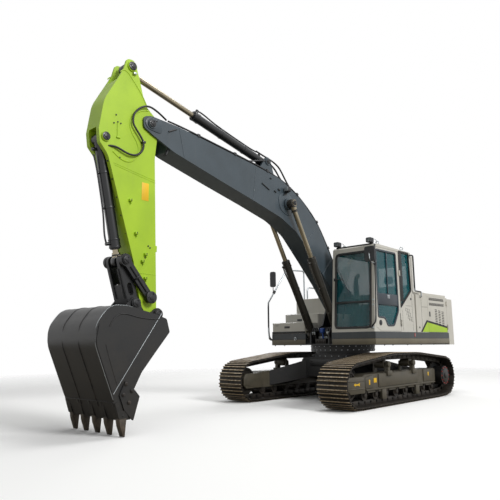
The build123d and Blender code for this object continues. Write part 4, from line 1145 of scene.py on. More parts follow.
@dataclass
class House:
    """Panels, louvres, handles, tank and box fittings, tail and hoses of the turning upper body."""

    side_y: float = 1.360
    skirt_y: float = 1.365
    hood_top: float = 2.170
    tail_x: float = -2.850
    louvres: tuple[float, ...] = (-1.665, -1.835, -2.005)

    def grille_door(self, side: int) -> dict[str, list[Thing]]:
        """Slots, louvres and handle on one service door; the slots are dark plates, painted shade for the
        openings.

        Args:
            side: 1 for the left door, -1 for the right.

        Returns:
            Dark, grey and plastic pieces.
        """
        y = self.side_y
        dark, grey, black = [], [], []
        for top in (2.075, 1.965):
            # Dark strip behind each row of bars: painted shade for the grille's opening.
            dark.append(BENCH.block((-2.085, y - 0.004, top - 0.056), (-1.335, y + 0.0015, top), 0.004))
            for k in range(19):
                x = -2.075 + k * 0.0395
                grey.append(BENCH.block((x, y, top - 0.050), (x + 0.010, y + 0.0035, top - 0.006), 0.001, 1))
        for k, x in enumerate(self.louvres):
            for step in range(9):
                z = 1.815 - step * 0.036 - k * 0.018
                slot = ((x - 0.052, z - 0.004), (x + 0.052, z + 0.004), (x + 0.052, z + 0.021),
                        (x - 0.052, z + 0.013))
                # Dark plate under each louvre lip: painted shade for its opening.
                dark.append(BENCH.plate(slot, y - 0.003, y + 0.0012, 0.0))
                lip = ((x - 0.056, z + 0.011), (x + 0.056, z + 0.019), (x + 0.056, z + 0.027),
                       (x - 0.056, z + 0.019))
                grey.append(BENCH.plate(lip, y - 0.001, y + 0.0042, 0.0015))
        black.append(BENCH.block((-1.375, y - 0.002, 1.670), (-1.318, y + 0.0042, 1.775), 0.003))
        black.append(BENCH.block((-1.362, y, 1.685), (-1.331, y + 0.0048, 1.760), 0.0015))
        flip = Matrix.Scale(-1, 4, (0, 1, 0))
        if side < 0:
            for group in (dark, grey, black):
                for k, piece in enumerate(group):
                    group[k] = BENCH.copy(piece, flip)
                    bpy.data.objects.remove(piece)
        return {"dark": dark, "grey": grey, "black": black}

    def decal(self) -> None:
        """The sloping green panel with its dark border, left blank, over the rear panel and the door."""
        y = self.side_y
        border = ((-0.870, 1.338), (-1.175, 1.590), (-1.256, 1.582), (-1.256, 1.338))
        green = ((-0.955, 1.340), (-1.200, 1.545), (-1.256, 1.538), (-1.256, 1.340))
        door_border = ((-1.263, 1.340), (-1.263, 1.581), (-2.205, 1.470), (-2.205, 1.340))
        door_green = ((-1.263, 1.342), (-1.263, 1.537), (-2.200, 1.432), (-2.200, 1.342))
        hand_over("panel_border", BENCH.plate(border, y - 0.002, y + 0.0012, 0), Body.HOUSE, FINISH.rubber_and_slot_shade)
        hand_over("panel_green_field", BENCH.plate(green, y - 0.001, y + 0.0022, 0), Body.HOUSE,
                  FINISH.green)
        hand_over("door_border", BENCH.plate(door_border, y - 0.002, y + 0.0012, 0), Body.LEFT_DOOR,
                  FINISH.rubber_and_slot_shade)
        hand_over("door_green_field", BENCH.plate(door_green, y - 0.001, y + 0.0022, 0), Body.LEFT_DOOR,
                  FINISH.green)

    def doors(self) -> None:
        """Both service doors' fittings."""
        for name, side, body in (("left", 1, Body.LEFT_DOOR), ("right", -1, Body.RIGHT_DOOR)):
            parts = self.grille_door(side)
            # The slots' black is painted shade for the door's openings.
            hand_over(f"{name}_door_slots", parts["dark"], body, FINISH.rubber_and_slot_shade)
            hand_over(f"{name}_door_louvres", parts["grey"], body, FINISH.grey)
            hand_over(f"{name}_door_handle", parts["black"], body, FINISH.plastic)

    def panel_lines(self) -> None:
        """Seams and lock of the fixed side panel on the left."""
        y = self.side_y
        seams = [BENCH.block((-0.962, y - 0.002, 1.345), (-0.956, y + 0.0012, 2.09), 0.0, 1),
                 BENCH.block((-1.240, y - 0.002, 1.86), (-0.975, y + 0.0012, 1.866), 0.0, 1)]
        hand_over("side_panel_seams", seams, Body.HOUSE, FINISH.rubber_and_slot_shade)
        lock = BENCH.drum((-0.83, y - 0.002, 1.43), (-0.83, y + 0.004, 1.43), 0.020, 24, 0.002)
        hand_over("side_panel_lock", [lock], Body.HOUSE, FINISH.plastic)

    def skirt_trim(self) -> None:
        """Lower band of the skirts, proud of the upper band, with its crease, reflectors and bolts."""
        y, low, mid, proud = self.skirt_y, 1.096, 1.205, 0.004
        turned = [BENCH.block((-2.256, y - 0.01, low), (0.992, y + proud, mid), 0.003),
                  BENCH.block((0.98, 0.412, low), (0.994, y + proud - 0.001, mid), 0.003),
                  BENCH.block((-2.256, -y - proud, low), (0.692, -y + 0.01, mid), 0.003),
                  BENCH.block((0.68, -y - proud + 0.001, low), (0.694, -0.452, mid), 0.003)]
        hand_over("skirt_lower_bands", turned, Body.HOUSE, FINISH.taupe)
        creases = [BENCH.block((-2.256, y - 0.01, mid), (0.993, y + 0.0055, mid + 0.006), 0.002),
                   BENCH.block((0.98, 0.412, mid), (0.9955, y + 0.005, mid + 0.006), 0.002),
                   BENCH.block((-2.256, -y - 0.0055, mid), (0.693, -y + 0.01, mid + 0.006), 0.002),
                   BENCH.block((0.68, -y - 0.005, mid), (0.6955, -0.452, mid + 0.006), 0.002)]
        hand_over("skirt_creases", creases, Body.HOUSE, FINISH.black_steel)
        lens = BENCH.block((-0.60, y - 0.004, 1.235), (-0.565, y + 0.004, 1.310), 0.001)
        hand_over("skirt_reflectors", [lens, BENCH.mirrored(lens)], Body.HOUSE, FINISH.red)
        bolt = BENCH.drum((0, 0, 1.072), (0, 0, 1.092), 0.012, 6)
        places = [(x, sy * 1.335, 0) for x in (-2.1, -1.5, -0.9, -0.3, 0.3, 0.62) for sy in (-1, 1)]
        made = [BENCH.copy(bolt, Matrix.Translation(p)) for p in places]
        bpy.data.objects.remove(bolt)
        hand_over("skirt_bolts", made, Body.HOUSE, FINISH.chain)
        shackle = BENCH.ring((0.702, -0.715, 1.215), (1, 0, 0), 0.026, 0.006, 24)
        eye = BENCH.block((0.69, -0.735, 1.235), (0.704, -0.695, 1.255), 0.003)
        hand_over("skirt_shackle", [shackle, eye], Body.HOUSE, FINISH.rail)

    def tail(self) -> None:
        """Counterweight: seam, tail lamps, lifting eyes and cover."""
        x = self.tail_x
        seam = BENCH.block((x - 0.0016, -1.00, 1.300), (x + 0.004, 1.00, 1.308), 0.0, 1)
        hand_over("tail_seam", [seam], Body.HOUSE, FINISH.rubber_and_slot_shade)
        lamps = [BENCH.block((x - 0.0018, sy * 0.70 - 0.09, 1.42), (x + 0.02, sy * 0.70 + 0.09, 1.48), 0.0)
                 for sy in (-1, 1)]
        hand_over("tail_lamps", lamps, Body.HOUSE, FINISH.red)
        made = []
        for sy in (-1, 1):
            eye = BENCH.ring((-2.50, sy * 0.62, 2.135), (1, 0, 0), 0.040, 0.016, 28)
            foot = BENCH.drum((-2.50, sy * 0.62, 2.085), (-2.50, sy * 0.62, 2.102), 0.05, 28, 0.004)
            made += [eye, foot]
        hand_over("tail_lifting_eyes", made, Body.HOUSE, FINISH.chassis)
        lid = BENCH.block((-2.62, -0.30, 2.088), (-2.30, 0.30, 2.102), 0.006)
        hand_over("tail_cover", [lid], Body.HOUSE, FINISH.grey)

    def hood(self) -> None:
        """Ribs, vents and handle of the engine hood, the step pad ahead of it and the intake's ribs."""
        z = self.hood_top
        ribs = [BENCH.block((-2.18, y - 0.03, z - 0.004), (-1.26, y + 0.03, z + 0.012), 0.010)
                for y in (-1.05, -0.62, 0.62, 1.05)]
        hand_over("hood_ribs", ribs, Body.HOOD, FINISH.grey)
        # Black slots on the hood: painted shade for the vent openings.
        slot = BENCH.block((-1.55, -0.40, z - 0.002), (-1.535, 0.40, z + 0.004), 0.001)
        hand_over("hood_vents", BENCH.row(slot, [(-0.04 * k, 0, 0) for k in range(1, 13)]), Body.HOOD,
                  FINISH.rubber_and_slot_shade)
        bar = BENCH.bar([(-2.19, -0.12, z + 0.002), (-2.19, -0.12, z + 0.04), (-2.19, 0.12, z + 0.04),
                         (-2.19, 0.12, z + 0.002)], 0.009, 3, False)
        hand_over("hood_handle", [bar], Body.HOOD, FINISH.plastic)
        pad = BENCH.block((-1.12, -0.36, z - 0.002), (-0.76, 0.12, z + 0.006), 0.003)
        stud = BENCH.drum((-1.10, -0.34, z + 0.004), (-1.10, -0.34, z + 0.011), 0.009, 8)
        studs = BENCH.row(stud,
                          [(COVER_STUD_STEP * a, COVER_STUD_STEP * b,
                            0) for a in range(8) for b in range(11) if a or b])
        hand_over("cover_step_pad", [pad, *studs], Body.HOUSE, FINISH.plastic)
        rib = BENCH.block((-0.96, 0.72, z + 0.146), (-0.79, 0.735, z + 0.154), 0.003)
        hand_over("intake_ribs", BENCH.row(rib, [(0, 0.04 * k, 0) for k in range(1, 10)]), Body.HOUSE,
                  FINISH.plastic)

    def tank_and_boxes(self) -> None:
        """Lids, dark bands, latches, slot, filler cap and treads on the right-hand tank and boxes."""
        lids = [BENCH.block((0.252, -1.352, 1.535), (0.6965 - 0.0068, -0.458, 1.566), 0.012),
                BENCH.block((-0.148, -1.352, 1.735), (0.234, -0.438, 1.767), 0.012),
                BENCH.block((-1.150, -1.350, 2.118), (-0.170, -0.430, 2.128), 0.004)]
        hand_over("box_lids", lids, Body.HOUSE, FINISH.pale)
        bands = [BENCH.block((0.6855, -1.352, 1.332), (0.6935, -0.456, 1.378), 0.002),
                 BENCH.block((-1.15, -self.side_y - 0.003, 1.332), (0.69, -self.side_y + 0.002, 1.378),
                             0.002)]
        hand_over("box_dark_bands", bands, Body.HOUSE, FINISH.rubber_and_slot_shade)
        handle = BENCH.block((0.684, -1.012, 1.448), (0.6955, -0.869, 1.492), 0.005)
        second = BENCH.block((0.2355, -1.008, 1.612), (0.2455, -0.875, 1.658), 0.004)
        latch = BENCH.block((0.42, -self.side_y - 0.005, 1.46), (0.52, -self.side_y + 0.004, 1.50), 0.003)
        hand_over("box_latches", [handle, second, latch], Body.HOUSE, FINISH.plastic)
        # A black slot: painted shade for its opening.
        slot = BENCH.block((0.689, -1.26, 1.505), (0.6925, -1.18, 1.512), 0.001)
        hand_over("box_slots", [slot], Body.HOUSE, FINISH.rubber_and_slot_shade)
        cap = BENCH.drum((-0.27, -0.72, 2.118), (-0.27, -0.72, 2.215), 0.050, 36, 0.008)
        neck = BENCH.drum((-0.27, -0.72, 2.112), (-0.27, -0.72, 2.135), 0.070, 36, 0.006)
        hand_over("filler_cap", [cap, neck], Body.HOUSE, FINISH.plastic)
        treads = []
        for low, high in (((0.30, -1.28, 1.562), (0.62, -0.86, 1.570)),
                          ((-0.11, -1.28, 1.764), (0.19, -0.86, 1.772)),
                          ((-1.05, -1.28, 2.126), (-0.55, -0.86, 2.134))):
            treads.append(BENCH.block(low, high, 0.002))
            stud = BENCH.drum((low[0] + 0.03, low[1] + 0.03, high[2] - 0.002),
                              (low[0] + 0.03, low[1] + 0.03, high[2] + 0.006),
                              0.008, 8)
            nx, ny = (int((high[axis] - low[axis] - 0.03) / BOX_STUD_STEP) for axis in (0, 1))
            treads += BENCH.row(stud,
                                [(BOX_STUD_STEP * a, BOX_STUD_STEP * b,
                                  0) for a in range(nx + 1) for b in range(ny + 1) if a or b])
        hand_over("box_treads", treads, Body.HOUSE, FINISH.rail)

    def stack(self) -> None:
        """Clamp rings of the exhaust stack."""
        rings = [BENCH.ring((-0.93, -0.18, 2.19), (0, 0, 1), 0.066, 0.008),
                 BENCH.ring((-0.93, -0.18, 2.405), (0, 0, 1), 0.060, 0.010)]
        hand_over("exhaust_clamps", rings, Body.HOUSE, FINISH.chain)

    def boom_foot_hoses(self) -> None:
        """Valve block on the deck ahead of the boom foot and the hoses that rise from it."""
        block = BENCH.block((0.52, -0.13, 1.105), (0.80, 0.13, 1.215), 0.010)
        spool = BENCH.drum((0.815, 0.09, 1.16), (0.79, 0.09, 1.16), 0.022, 20, 0.004)
        spools = BENCH.row(spool, [(0, -0.06 * k, 0) for k in range(1, 4)])
        hand_over("valve_block", [block, *spools], Body.HOUSE, FINISH.chain)
        hoses, nuts = [], []
        for k in range(8):
            y = -0.155 + 0.044 * k
            x = 0.600 + 0.028 * (k % 3)
            hoses.append(BENCH.bar([(x, y, 1.20), (x + 0.03, y, 1.31), (x - 0.02, y, 1.40), (0.42, y, 1.46),
                                    (0.24, y * 1.05, 1.38), (0.10, y * 1.1, 1.22)], 0.017, 3))
            nuts.append(BENCH.drum((x, y, 1.205), (x + 0.012, y, 1.262), 0.023, 8, 0.003))
        for side in (-1, 1):
            for k in range(2):
                y = side * (0.160 + 0.050 * k)
                hoses.append(BENCH.bar([(0.62, y, 1.12), (0.68, y, 1.16), (0.755, y, 1.26), (0.772, y, 1.36),
                                        (0.735, y, 1.44), (0.670, y, 1.44), (0.62, y, 1.36)], 0.015, 3))
                nuts.append(BENCH.drum((0.762, y, 1.30), (0.772, y, 1.355), 0.022, 8, 0.003))
                nuts.append(BENCH.drum((0.632, y, 1.375), (0.655, y, 1.42), 0.022, 8, 0.003))
        hand_over("deck_hoses", hoses, Body.HOUSE, FINISH.hose)
        hand_over("hose_nuts", nuts, Body.HOUSE, FINISH.rail)
        blue = [BENCH.block((0.68, -0.045, 1.33), (0.76, 0.045, 1.43), 0.02, 3),
                BENCH.bar([(0.72, 0, 1.35), (0.73, 0.02, 1.24), (0.72, 0.03, 1.14)], 0.014, 3)]
        hand_over("blue_pilot_lines", blue, Body.HOUSE, FINISH.blue)

    def build(self) -> None:
        """Builds and hands over every piece of the house."""
        self.doors()
        self.decal()
        self.panel_lines()
        self.skirt_trim()
        self.tail()
        self.hood()
        self.tank_and_boxes()
        self.stack()
        self.boom_foot_hoses()


# ---------------------------------------------------------------- cab

def round_corners(corners: Sequence[Flat], radius: float, steps: int = 5) -> list[Flat]:
    """An outline with each corner replaced by a short curve.

    Args:
        corners: The sharp outline.
        radius: Distance from a corner at which its curve starts.
        steps: Points per corner.

    Returns:
        The rounded outline.
    """
    made: list[Flat] = []
    for k, corner in enumerate(corners):
        here, back, ahead = Vector(corner), Vector(corners[k - 1]), Vector(corners[(k + 1) % len(corners)])
        run = min(radius, (back - here).length * 0.48, (ahead - here).length * 0.48)
        start, end = here + (back - here).normalized() * run, here + (ahead - here).normalized() * run
        for s in range(steps + 1):
            t = s / steps
            point = start * (1 - t) ** 2 + here * (2 * t * (1 - t)) + end * t ** 2
            made.append((point.x, point.y))
    return made


def seal_frame(corners: Sequence[Flat], radius: float, width: float, low: float, high: float,
               axis: str = "Y",
               bevel: float = 0.003) -> Thing:
    """A window seal: a flat ring that follows a rounded outline.

    Args:
        corners: Outer outline before rounding.
        radius: Corner size.
        width: Width of the ring.
        low: Lower face along the axis.
        high: Upper face along the axis.
        bevel: Edge width.
        axis: Direction of the thickness.

    Returns:
        The seal.
    """
    obj = BENCH.face(round_corners(corners, radius), low, axis)
    bpy.ops.mesh.inset(thickness=width, depth=0)
    bpy.ops.mesh.delete(type="FACE")
    BENCH.thicken(high - low, axis)
    return BENCH.soften(obj, bevel)


@dataclass
class Cab:
    """Seals, bars, handles, mirrors, seat and controls of the operator's cab."""

    side_y: float = 1.340
    right_y: float = 0.405
    foot_x: float = 0.975
    foot_z: float = 1.3303
    brow_x: float = 0.840
    brow_z: float = 2.960

    def front_x(self, z: float) -> float:
        """X of the sloping front face at a height.

        Args:
            z: The height.

        Returns:
            The place.
        """
        return self.foot_x + (self.brow_x - self.foot_x) * (z - self.foot_z) / (self.brow_z - self.foot_z)

    def lean(self, obj: Thing) -> Thing:
        """Leans an upright piece, built at x = 0, on to the sloping front face.

        Args:
            obj: The piece.

        Returns:
            The same piece.
        """
        slope = (self.brow_x - self.foot_x) / (self.brow_z - self.foot_z)
        for vertex in obj.data.vertices:
            vertex.co.x += self.foot_x + slope * (vertex.co.z - self.foot_z)
        return obj

    def seals(self) -> None:
        """Rubber round every pane, the windshield's cross bar and the door's middle rail."""
        front = seal_frame([(0.462, 1.388), (1.283, 1.388), (1.283, 2.882), (0.462, 2.882)], 0.11, 0.046,
                           -0.012, 0.006, "X")
        bar = BENCH.block((-0.016, 0.50, 1.872), (0.004, 1.245, 1.915), 0.004)
        trim = [self.lean(front), self.lean(bar)]
        trim.append(seal_frame([(-0.085, 2.965), (-0.545, 2.965), (-0.585, 2.170), (-0.085, 1.79)], 0.05,
                               0.034,
                               self.side_y - 0.02, self.side_y + 0.006))
        trim.append(BENCH.block((-0.225, self.side_y - 0.018, 1.95), (-0.105, self.side_y + 0.004, 2.945),
                                0.004))
        trim.append(seal_frame([(0.795, 2.895), (-0.535, 2.895), (-0.575, 1.685), (0.875, 1.685)], 0.08,
                               0.034,
                               self.right_y - 0.002, self.right_y + 0.02))
        trim.append(seal_frame([(0.512, 2.138), (1.233, 2.138), (1.233, 2.812), (0.512, 2.812)], 0.06, 0.030,
                               -0.7048,
                               -0.690, "X"))
        trim.append(BENCH.block((0.770, 0.46, 2.996), (0.806, 1.28, 3.014), 0.005))
        hand_over("cab_seals", trim, Body.HOUSE, FINISH.rubber_and_slot_shade)
        window = ((0.812, 2.902), (0.012, 2.902), (-0.008, 1.740), (0.200, 1.437), (0.478, 1.428),
                  (0.568, 1.578),
                  (0.832, 1.588))
        door = [seal_frame(window, 0.06, 0.036, self.side_y - 0.025, self.side_y + 0.006),
                BENCH.block((0.01, self.side_y - 0.022, 1.835), (0.80, self.side_y + 0.003, 2.055), 0.006),
                BENCH.block((0.385, self.side_y - 0.02, 2.04), (0.41, self.side_y + 0.001, 2.87), 0.004)]
        hand_over("door_seals", door, Body.CAB_DOOR, FINISH.slate_trim)

    def handles(self) -> None:
        """Grab tubes, the door's latch and lock, the pillar's studs, and the wiper."""
        y = self.side_y
        tube = BENCH.bar([(0.800, y - 0.02, 2.978), (0.835, y + 0.020, 2.978), (0.895, y + 0.038, 2.945),
                          (0.910, y + 0.038, 2.80), (0.918, y + 0.038, 2.30), (0.964, y + 0.038, 1.60),
                          (0.978, y + 0.034, 1.50), (0.990, y - 0.010, 1.455), (0.988, y - 0.045, 1.44),
                          (0.966, y - 0.050, 1.39)], 0.014, 4)
        hand_over("front_grab_tube", [tube], Body.HOUSE, FINISH.gloss_black)
        plate = BENCH.block((0.345, y, 1.965), (0.435, y + 0.010, 2.035), 0.006)
        grip = BENCH.bar([(0.36, y + 0.004, 2.00), (0.36, y + 0.028, 2.00), (0.43, y + 0.028, 2.00),
                          (0.43, y + 0.004, 2.00)], 0.007, 3)
        hand_over("door_latch", [plate, grip], Body.CAB_DOOR, FINISH.rail)
        lock = BENCH.drum((0.735, y - 0.004, 1.497), (0.735, y + 0.008, 1.497), 0.052, 40, 0.004)
        pull = BENCH.block((-0.062, y - 0.002, 1.43), (-0.046, y + 0.004, 1.70), 0.003)
        hand_over("door_lock", [lock, pull], Body.CAB_DOOR, FINISH.plastic)
        cap = BENCH.drum((-0.534, y - 0.002, 2.003), (-0.534, y + 0.006, 2.003), 0.024, 28, 0.003)
        back = BENCH.bar([(-0.56, y + 0.01, 2.910), (-0.56, y + 0.050, 2.910), (-0.575, y + 0.060, 2.910),
                          (-0.61, y + 0.060, 2.905), (-0.620, y + 0.060, 2.875), (-0.620, y + 0.060, 2.80),
                          (-0.620, y + 0.060, 2.21), (-0.622, y + 0.060, 2.18), (-0.655, y + 0.060, 2.170),
                          (-0.880, y + 0.060, 2.170)], 0.0155, 4)
        hand_over("rear_grab_sleeve", [back], Body.HOUSE, FINISH.gloss_black)
        hand_over("rear_cap", [cap], Body.HOUSE, FINISH.plastic)
        pads = []
        for z in (1.918, 1.823, 1.403):
            x = self.front_x(z)
            pads.append(BENCH.drum((x - 0.004, 1.318, z), (x + 0.012, 1.318, z + 0.0013), 0.021, 28, 0.004))
        hand_over("pillar_studs", pads, Body.HOUSE, FINISH.rail)
        wiper = [BENCH.bar([(self.front_x(z) + 0.014, yy, z) for yy,
                            z in ((0.535, 2.58), (0.64, 2.37), (0.80, 2.08))],
                           0.007, 3, False),
                 BENCH.bar([(self.front_x(z) + 0.022, yy, z) for yy,
                            z in ((0.47, 2.36), (0.60, 2.36), (0.66, 2.33))],
                           0.008, 3, False),
                 BENCH.block((self.front_x(2.36) - 0.002, 0.44, 2.33),
                             (self.front_x(2.36) + 0.018, 0.50, 2.39), 0.006)]
        hand_over("wiper", wiper, Body.HOUSE, FINISH.plastic)

    def vents(self) -> None:
        """Slanted vent holes, as dark plates whose black is painted shade, and seams on the panel behind the
        door.
        """
        y = self.side_y
        holes = []
        for row in range(7):
            for col in range(3):
                x = -0.300 - col * 0.070 - row * 0.022 + (0.035 if row % 2 else 0.0)
                z = 1.800 - row * 0.038 - col * 0.012
                slot = ((x - 0.010, z - 0.016), (x + 0.012, z + 0.006), (x + 0.010, z + 0.018),
                        (x - 0.012, z - 0.004))
                # Each hole is a dark plate: painted shade for the opening.
                holes.append(BENCH.plate(slot, y - 0.003, y + 0.0025, 0))
        seams = [BENCH.block((-0.585, y - 0.002, 1.36), (-0.580, y + 0.001, 2.10), 0.0, 1),
                 BENCH.block((-0.155, y - 0.002, 1.36), (-0.150, y + 0.001, 1.76), 0.0, 1),
                 BENCH.block((-0.575, y - 0.002, 1.855), (-0.30, y + 0.001, 1.860), 0.0, 1)]
        hand_over("cab_vents", holes + seams, Body.HOUSE, FINISH.rubber_and_slot_shade)

    def roof(self) -> None:
        """Lamp lenses with frames and leads, lifting eyes and the roof hatch."""
        lenses, frames, cables = [], [], []
        for y in (0.495, 1.230):
            lenses.append(BENCH.block((0.850, y - 0.044, 3.036), (0.8590, y + 0.044, 3.109), 0.006))
            frames.append(seal_frame([(y - 0.054, 3.026), (y + 0.054, 3.026), (y + 0.054, 3.119),
                                      (y - 0.054, 3.119)], 0.02,
                                     0.010, 0.850, 0.864, "X"))
            for dy in (-0.018, 0.018):
                frames.append(BENCH.block((0.858, y + dy - 0.003, 3.036), (0.8625, y + dy + 0.003, 3.109),
                                          0.001))
            cables.append(BENCH.bar([(0.76, y + 0.03, 3.08), (0.68, y + 0.05, 3.12), (0.60, y + 0.04, 3.10),
                                     (0.58, y + 0.02, 2.99)], 0.0055, 3))
        hand_over("roof_lamp_lenses", lenses, Body.HOUSE, FINISH.lens)
        hand_over("roof_lamp_frames", frames, Body.HOUSE, FINISH.plastic)
        hand_over("roof_lamp_leads", cables, Body.HOUSE, FINISH.rail)
        eyes = []
        for x, y in ((0.56, 1.25), (-0.42, 1.25), (0.56, 0.50), (-0.42, 0.50)):
            eyes.append(BENCH.ring((x, y, 3.052), (1, 0.4, 0), 0.030, 0.0085, 28))
            eyes.append(BENCH.drum((x, y, 2.985), (x, y, 3.024), 0.018, 20, 0.003))
        hand_over("roof_lifting_eyes", eyes, Body.HOUSE, FINISH.rail)
        hatch = [BENCH.block((-0.20, 0.58, 2.992), (0.48, 1.16, 3.012), 0.010)]
        hand_over("roof_hatch", hatch, Body.HOUSE, FINISH.pale)

    def mirror_faces(self) -> None:
        """Silvered glass of both mirror heads, the left bracket and clamps, and the front rail's sleeve."""
        left = BENCH.block((1.0405, 1.277, 2.640), (1.0465, 1.453, 2.886), 0.012)
        right = BENCH.block((0.5635, -1.462, 2.400), (0.5695, -1.348, 2.706), 0.012)
        hand_over("mirror_glasses", [left, right], Body.HOUSE, FINISH.mirror)
        bracket = BENCH.bar([(0.905, 1.378, 2.600), (1.04, 1.384, 2.598), (1.087, 1.385, 2.61),
                             (1.088, 1.367, 2.70),
                             (1.087, 1.365, 2.78)], 0.0105, 4)
        hand_over("mirror_bracket", [bracket], Body.HOUSE, FINISH.rail)
        clamps = [BENCH.drum((0.913, 1.378, 2.565), (0.915, 1.378, 2.635), 0.024, 20, 0.004),
                  BENCH.block((0.895, 1.352, 2.580), (0.935, 1.404, 2.620), 0.006),
                  BENCH.drum((1.080, 1.365, 2.78), (1.096, 1.365, 2.78), 0.022, 20, 0.004)]
        hand_over("mirror_clamps", clamps, Body.HOUSE, FINISH.plastic)
        lower = BENCH.bar([(0.606, -1.405, 1.196), (0.725, -1.405, 1.215), (0.757, -1.405, 1.36),
                           (0.758, -1.405, 1.50),
                           (0.758, -1.405, 1.98), (0.756, -1.4046, 2.01)], 0.0182, 4)
        hand_over("front_rail_sleeve", [lower], Body.HOUSE, FINISH.plastic)

    @staticmethod
    def cushion(low: Point, high: Point, crown: float) -> Thing:
        """A crowned cushion: a subdivided block whose faces swell and whose edges stay pinched.

        Args:
            low: Lowest corner.
            high: Highest corner.
            crown: How far the middle of each face swells.

        Returns:
            The cushion.
        """
        BENCH.clear()
        centre = [(a + b) / 2 for a, b in zip(low, high)]
        half = [(b - a) / 2 for a, b in zip(low, high)]
        bpy.ops.mesh.primitive_cube_add(size=2, location=(0, 0, 0))
        obj = bpy.context.object
        bpy.ops.object.mode_set(mode="EDIT")
        bpy.ops.mesh.select_all(action="SELECT")
        bpy.ops.mesh.subdivide(number_cuts=9)
        bpy.ops.object.mode_set(mode="OBJECT")
        for vertex in obj.data.vertices:
            u = list(vertex.co)
            swell = [0.0, 0.0, 0.0]
            for axis in range(3):
                others = [u[k] for k in range(3) if k != axis]
                swell[axis] = u[axis] * (1 - others[0] ** 2) * (1 - others[1] ** 2) * crown
            for axis in range(3):
                vertex.co[axis] = centre[axis] + u[axis] * (half[axis] - crown) + swell[axis]
        soft = BENCH.pick(obj).modifiers.new("soft", "SUBSURF")
        soft.levels = soft.render_levels = 2
        bpy.ops.object.modifier_apply(modifier=soft.name)
        bpy.ops.object.shade_smooth()
        return obj

    def seat(self) -> None:
        """Suspension seat: two crowned cushions, a headrest and the base."""
        base = self.cushion((-0.36, 0.67, 1.555), (0.19, 1.13, 1.70), 0.022)
        hand_over("seat_cushion", base, Body.HOUSE, FINISH.cloth, ("operator_seat",))
        back = self.cushion((-0.075, 0.68, 0.0), (0.075, 1.12, 0.58), 0.024)
        back.data.transform(Matrix.Translation((-0.325, 0, 1.715)) @ Matrix.Rotation(math.radians(-11), 4,
                                                            "Y"))
        hand_over("seat_back", back, Body.HOUSE, FINISH.cloth)
        rest = self.cushion((-0.05, 0.79, 0.0), (0.05, 1.01, 0.17), 0.020)
        rest.data.transform(Matrix.Translation((-0.445, 0, 2.335)) @ Matrix.Rotation(math.radians(-8), 4,
                                                            "Y"))
        hand_over("headrest", rest, Body.HOUSE, FINISH.cloth)
        frame = [BENCH.block((-0.32, 0.70, 1.377), (0.15, 1.10, 1.44), 0.012),
                 BENCH.block((-0.28, 0.74, 1.43), (0.12, 1.06, 1.52), 0.03, 3),
                 BENCH.block((-0.33, 0.69, 1.515), (0.17, 1.11, 1.56), 0.012)]
        hand_over("seat_base", frame, Body.HOUSE, FINISH.plastic)

    def controls(self) -> None:
        """Joysticks, travel levers with pedals, arm box, monitor, overhead box and floor mat."""
        black = []
        for y in (0.545, 1.205):
            if y > 1:
                black.append(BENCH.block((-0.22, 1.150, 1.70), (0.30, 1.262, 1.80), 0.02, 3))
                black.append(BENCH.block((-0.16, 1.170, 1.377), (0.02, 1.25, 1.71), 0.01))
            black.append(BENCH.block((0.10, y - 0.05, 1.79), (0.28, y + 0.05, 1.825), 0.014, 3))
            black.append(BENCH.drum((0.21, y, 1.81), (0.21, y, 1.90), 0.034, 24, 0.004, 0.016))
            black.append(BENCH.drum((0.21, y, 1.89), (0.222, y, 2.02), 0.020, 20, 0.009, 0.027))
        for y in (0.83, 0.97):
            black.append(BENCH.bar([(0.60, y, 1.40), (0.585, y, 1.62), (0.50, y, 1.86), (0.49, y, 1.97)],
                                   0.011, 3))
            black.append(BENCH.drum((0.49, y, 1.95), (0.488, y, 2.06), 0.019, 20, 0.008))
            black.append(BENCH.block((0.62, y - 0.045, 1.385), (0.80, y + 0.045, 1.42), 0.012))
        black.append(BENCH.block((0.60, 0.475, 1.98), (0.63, 0.66, 2.12), 0.012))
        black.append(BENCH.bar([(0.66, 0.47, 1.60), (0.64, 0.50, 1.90), (0.62, 0.55, 2.00)], 0.012, 3))
        black.append(BENCH.block((-0.60, 0.50, 2.70), (-0.45, 1.24, 2.86), 0.02, 3))
        hand_over("cab_controls", black, Body.HOUSE, FINISH.plastic)
        screen = BENCH.block((0.596, 0.488, 1.992), (0.601, 0.648, 2.108), 0.002)
        hand_over("monitor_screen", [screen], Body.HOUSE, FINISH.lens)
        mat = [BENCH.block((0.20, 0.63, 1.3755), (0.86, 1.28, 1.383), 0.003)]
        rib = BENCH.block((0.22, 0.65, 1.382), (0.84, 0.66, 1.387), 0.001)
        mat += BENCH.row(rib, [(0, 0.04 * k, 0) for k in range(1, 16)])
        hand_over("floor_mat", mat, Body.HOUSE, FINISH.rubber_and_slot_shade)

    def build(self) -> None:
        """Builds and hands over every piece of the cab."""
        self.seals()
        self.handles()
        self.vents()
        self.roof()
        self.mirror_faces()
        self.seat()
        self.controls()


# ---------------------------------------------------------------- boom, arm, cylinders and bucket

def toward(a: Flat, b: Flat, distance: float, aside: float = 0.0) -> Flat:
    """The (x, z) point at a distance from a towards b, set off to the left of that line.

    Args:
        a: Start.
        b: End.
        distance: Distance along.
        aside: Distance across, to the left when looking from a to b with X right and Z up.

    Returns:
        The point.
    """
    length = math.dist(a, b)
    ux, uz = (b[0] - a[0]) / length, (b[1] - a[1]) / length
    return a[0] + ux * distance - uz * aside, a[1] + uz * distance + ux * aside


PIN = {"boom_foot": (0.130, 1.870), "boom_tip": (5.250, 4.395), "boom_cyl_foot": (0.620, 1.300),
       "boom_cyl_pin": (2.040, 3.735), "arm_cyl_foot": (2.480, 4.500), "arm_cyl_pin": (5.605, 5.195),
       "bucket_cyl_foot": (6.010, 3.996), "rocker": (5.221, 1.790), "link_top": (5.645, 2.290),
       "link_low": (5.463, 1.700), "bucket": (5.075, 1.560)}


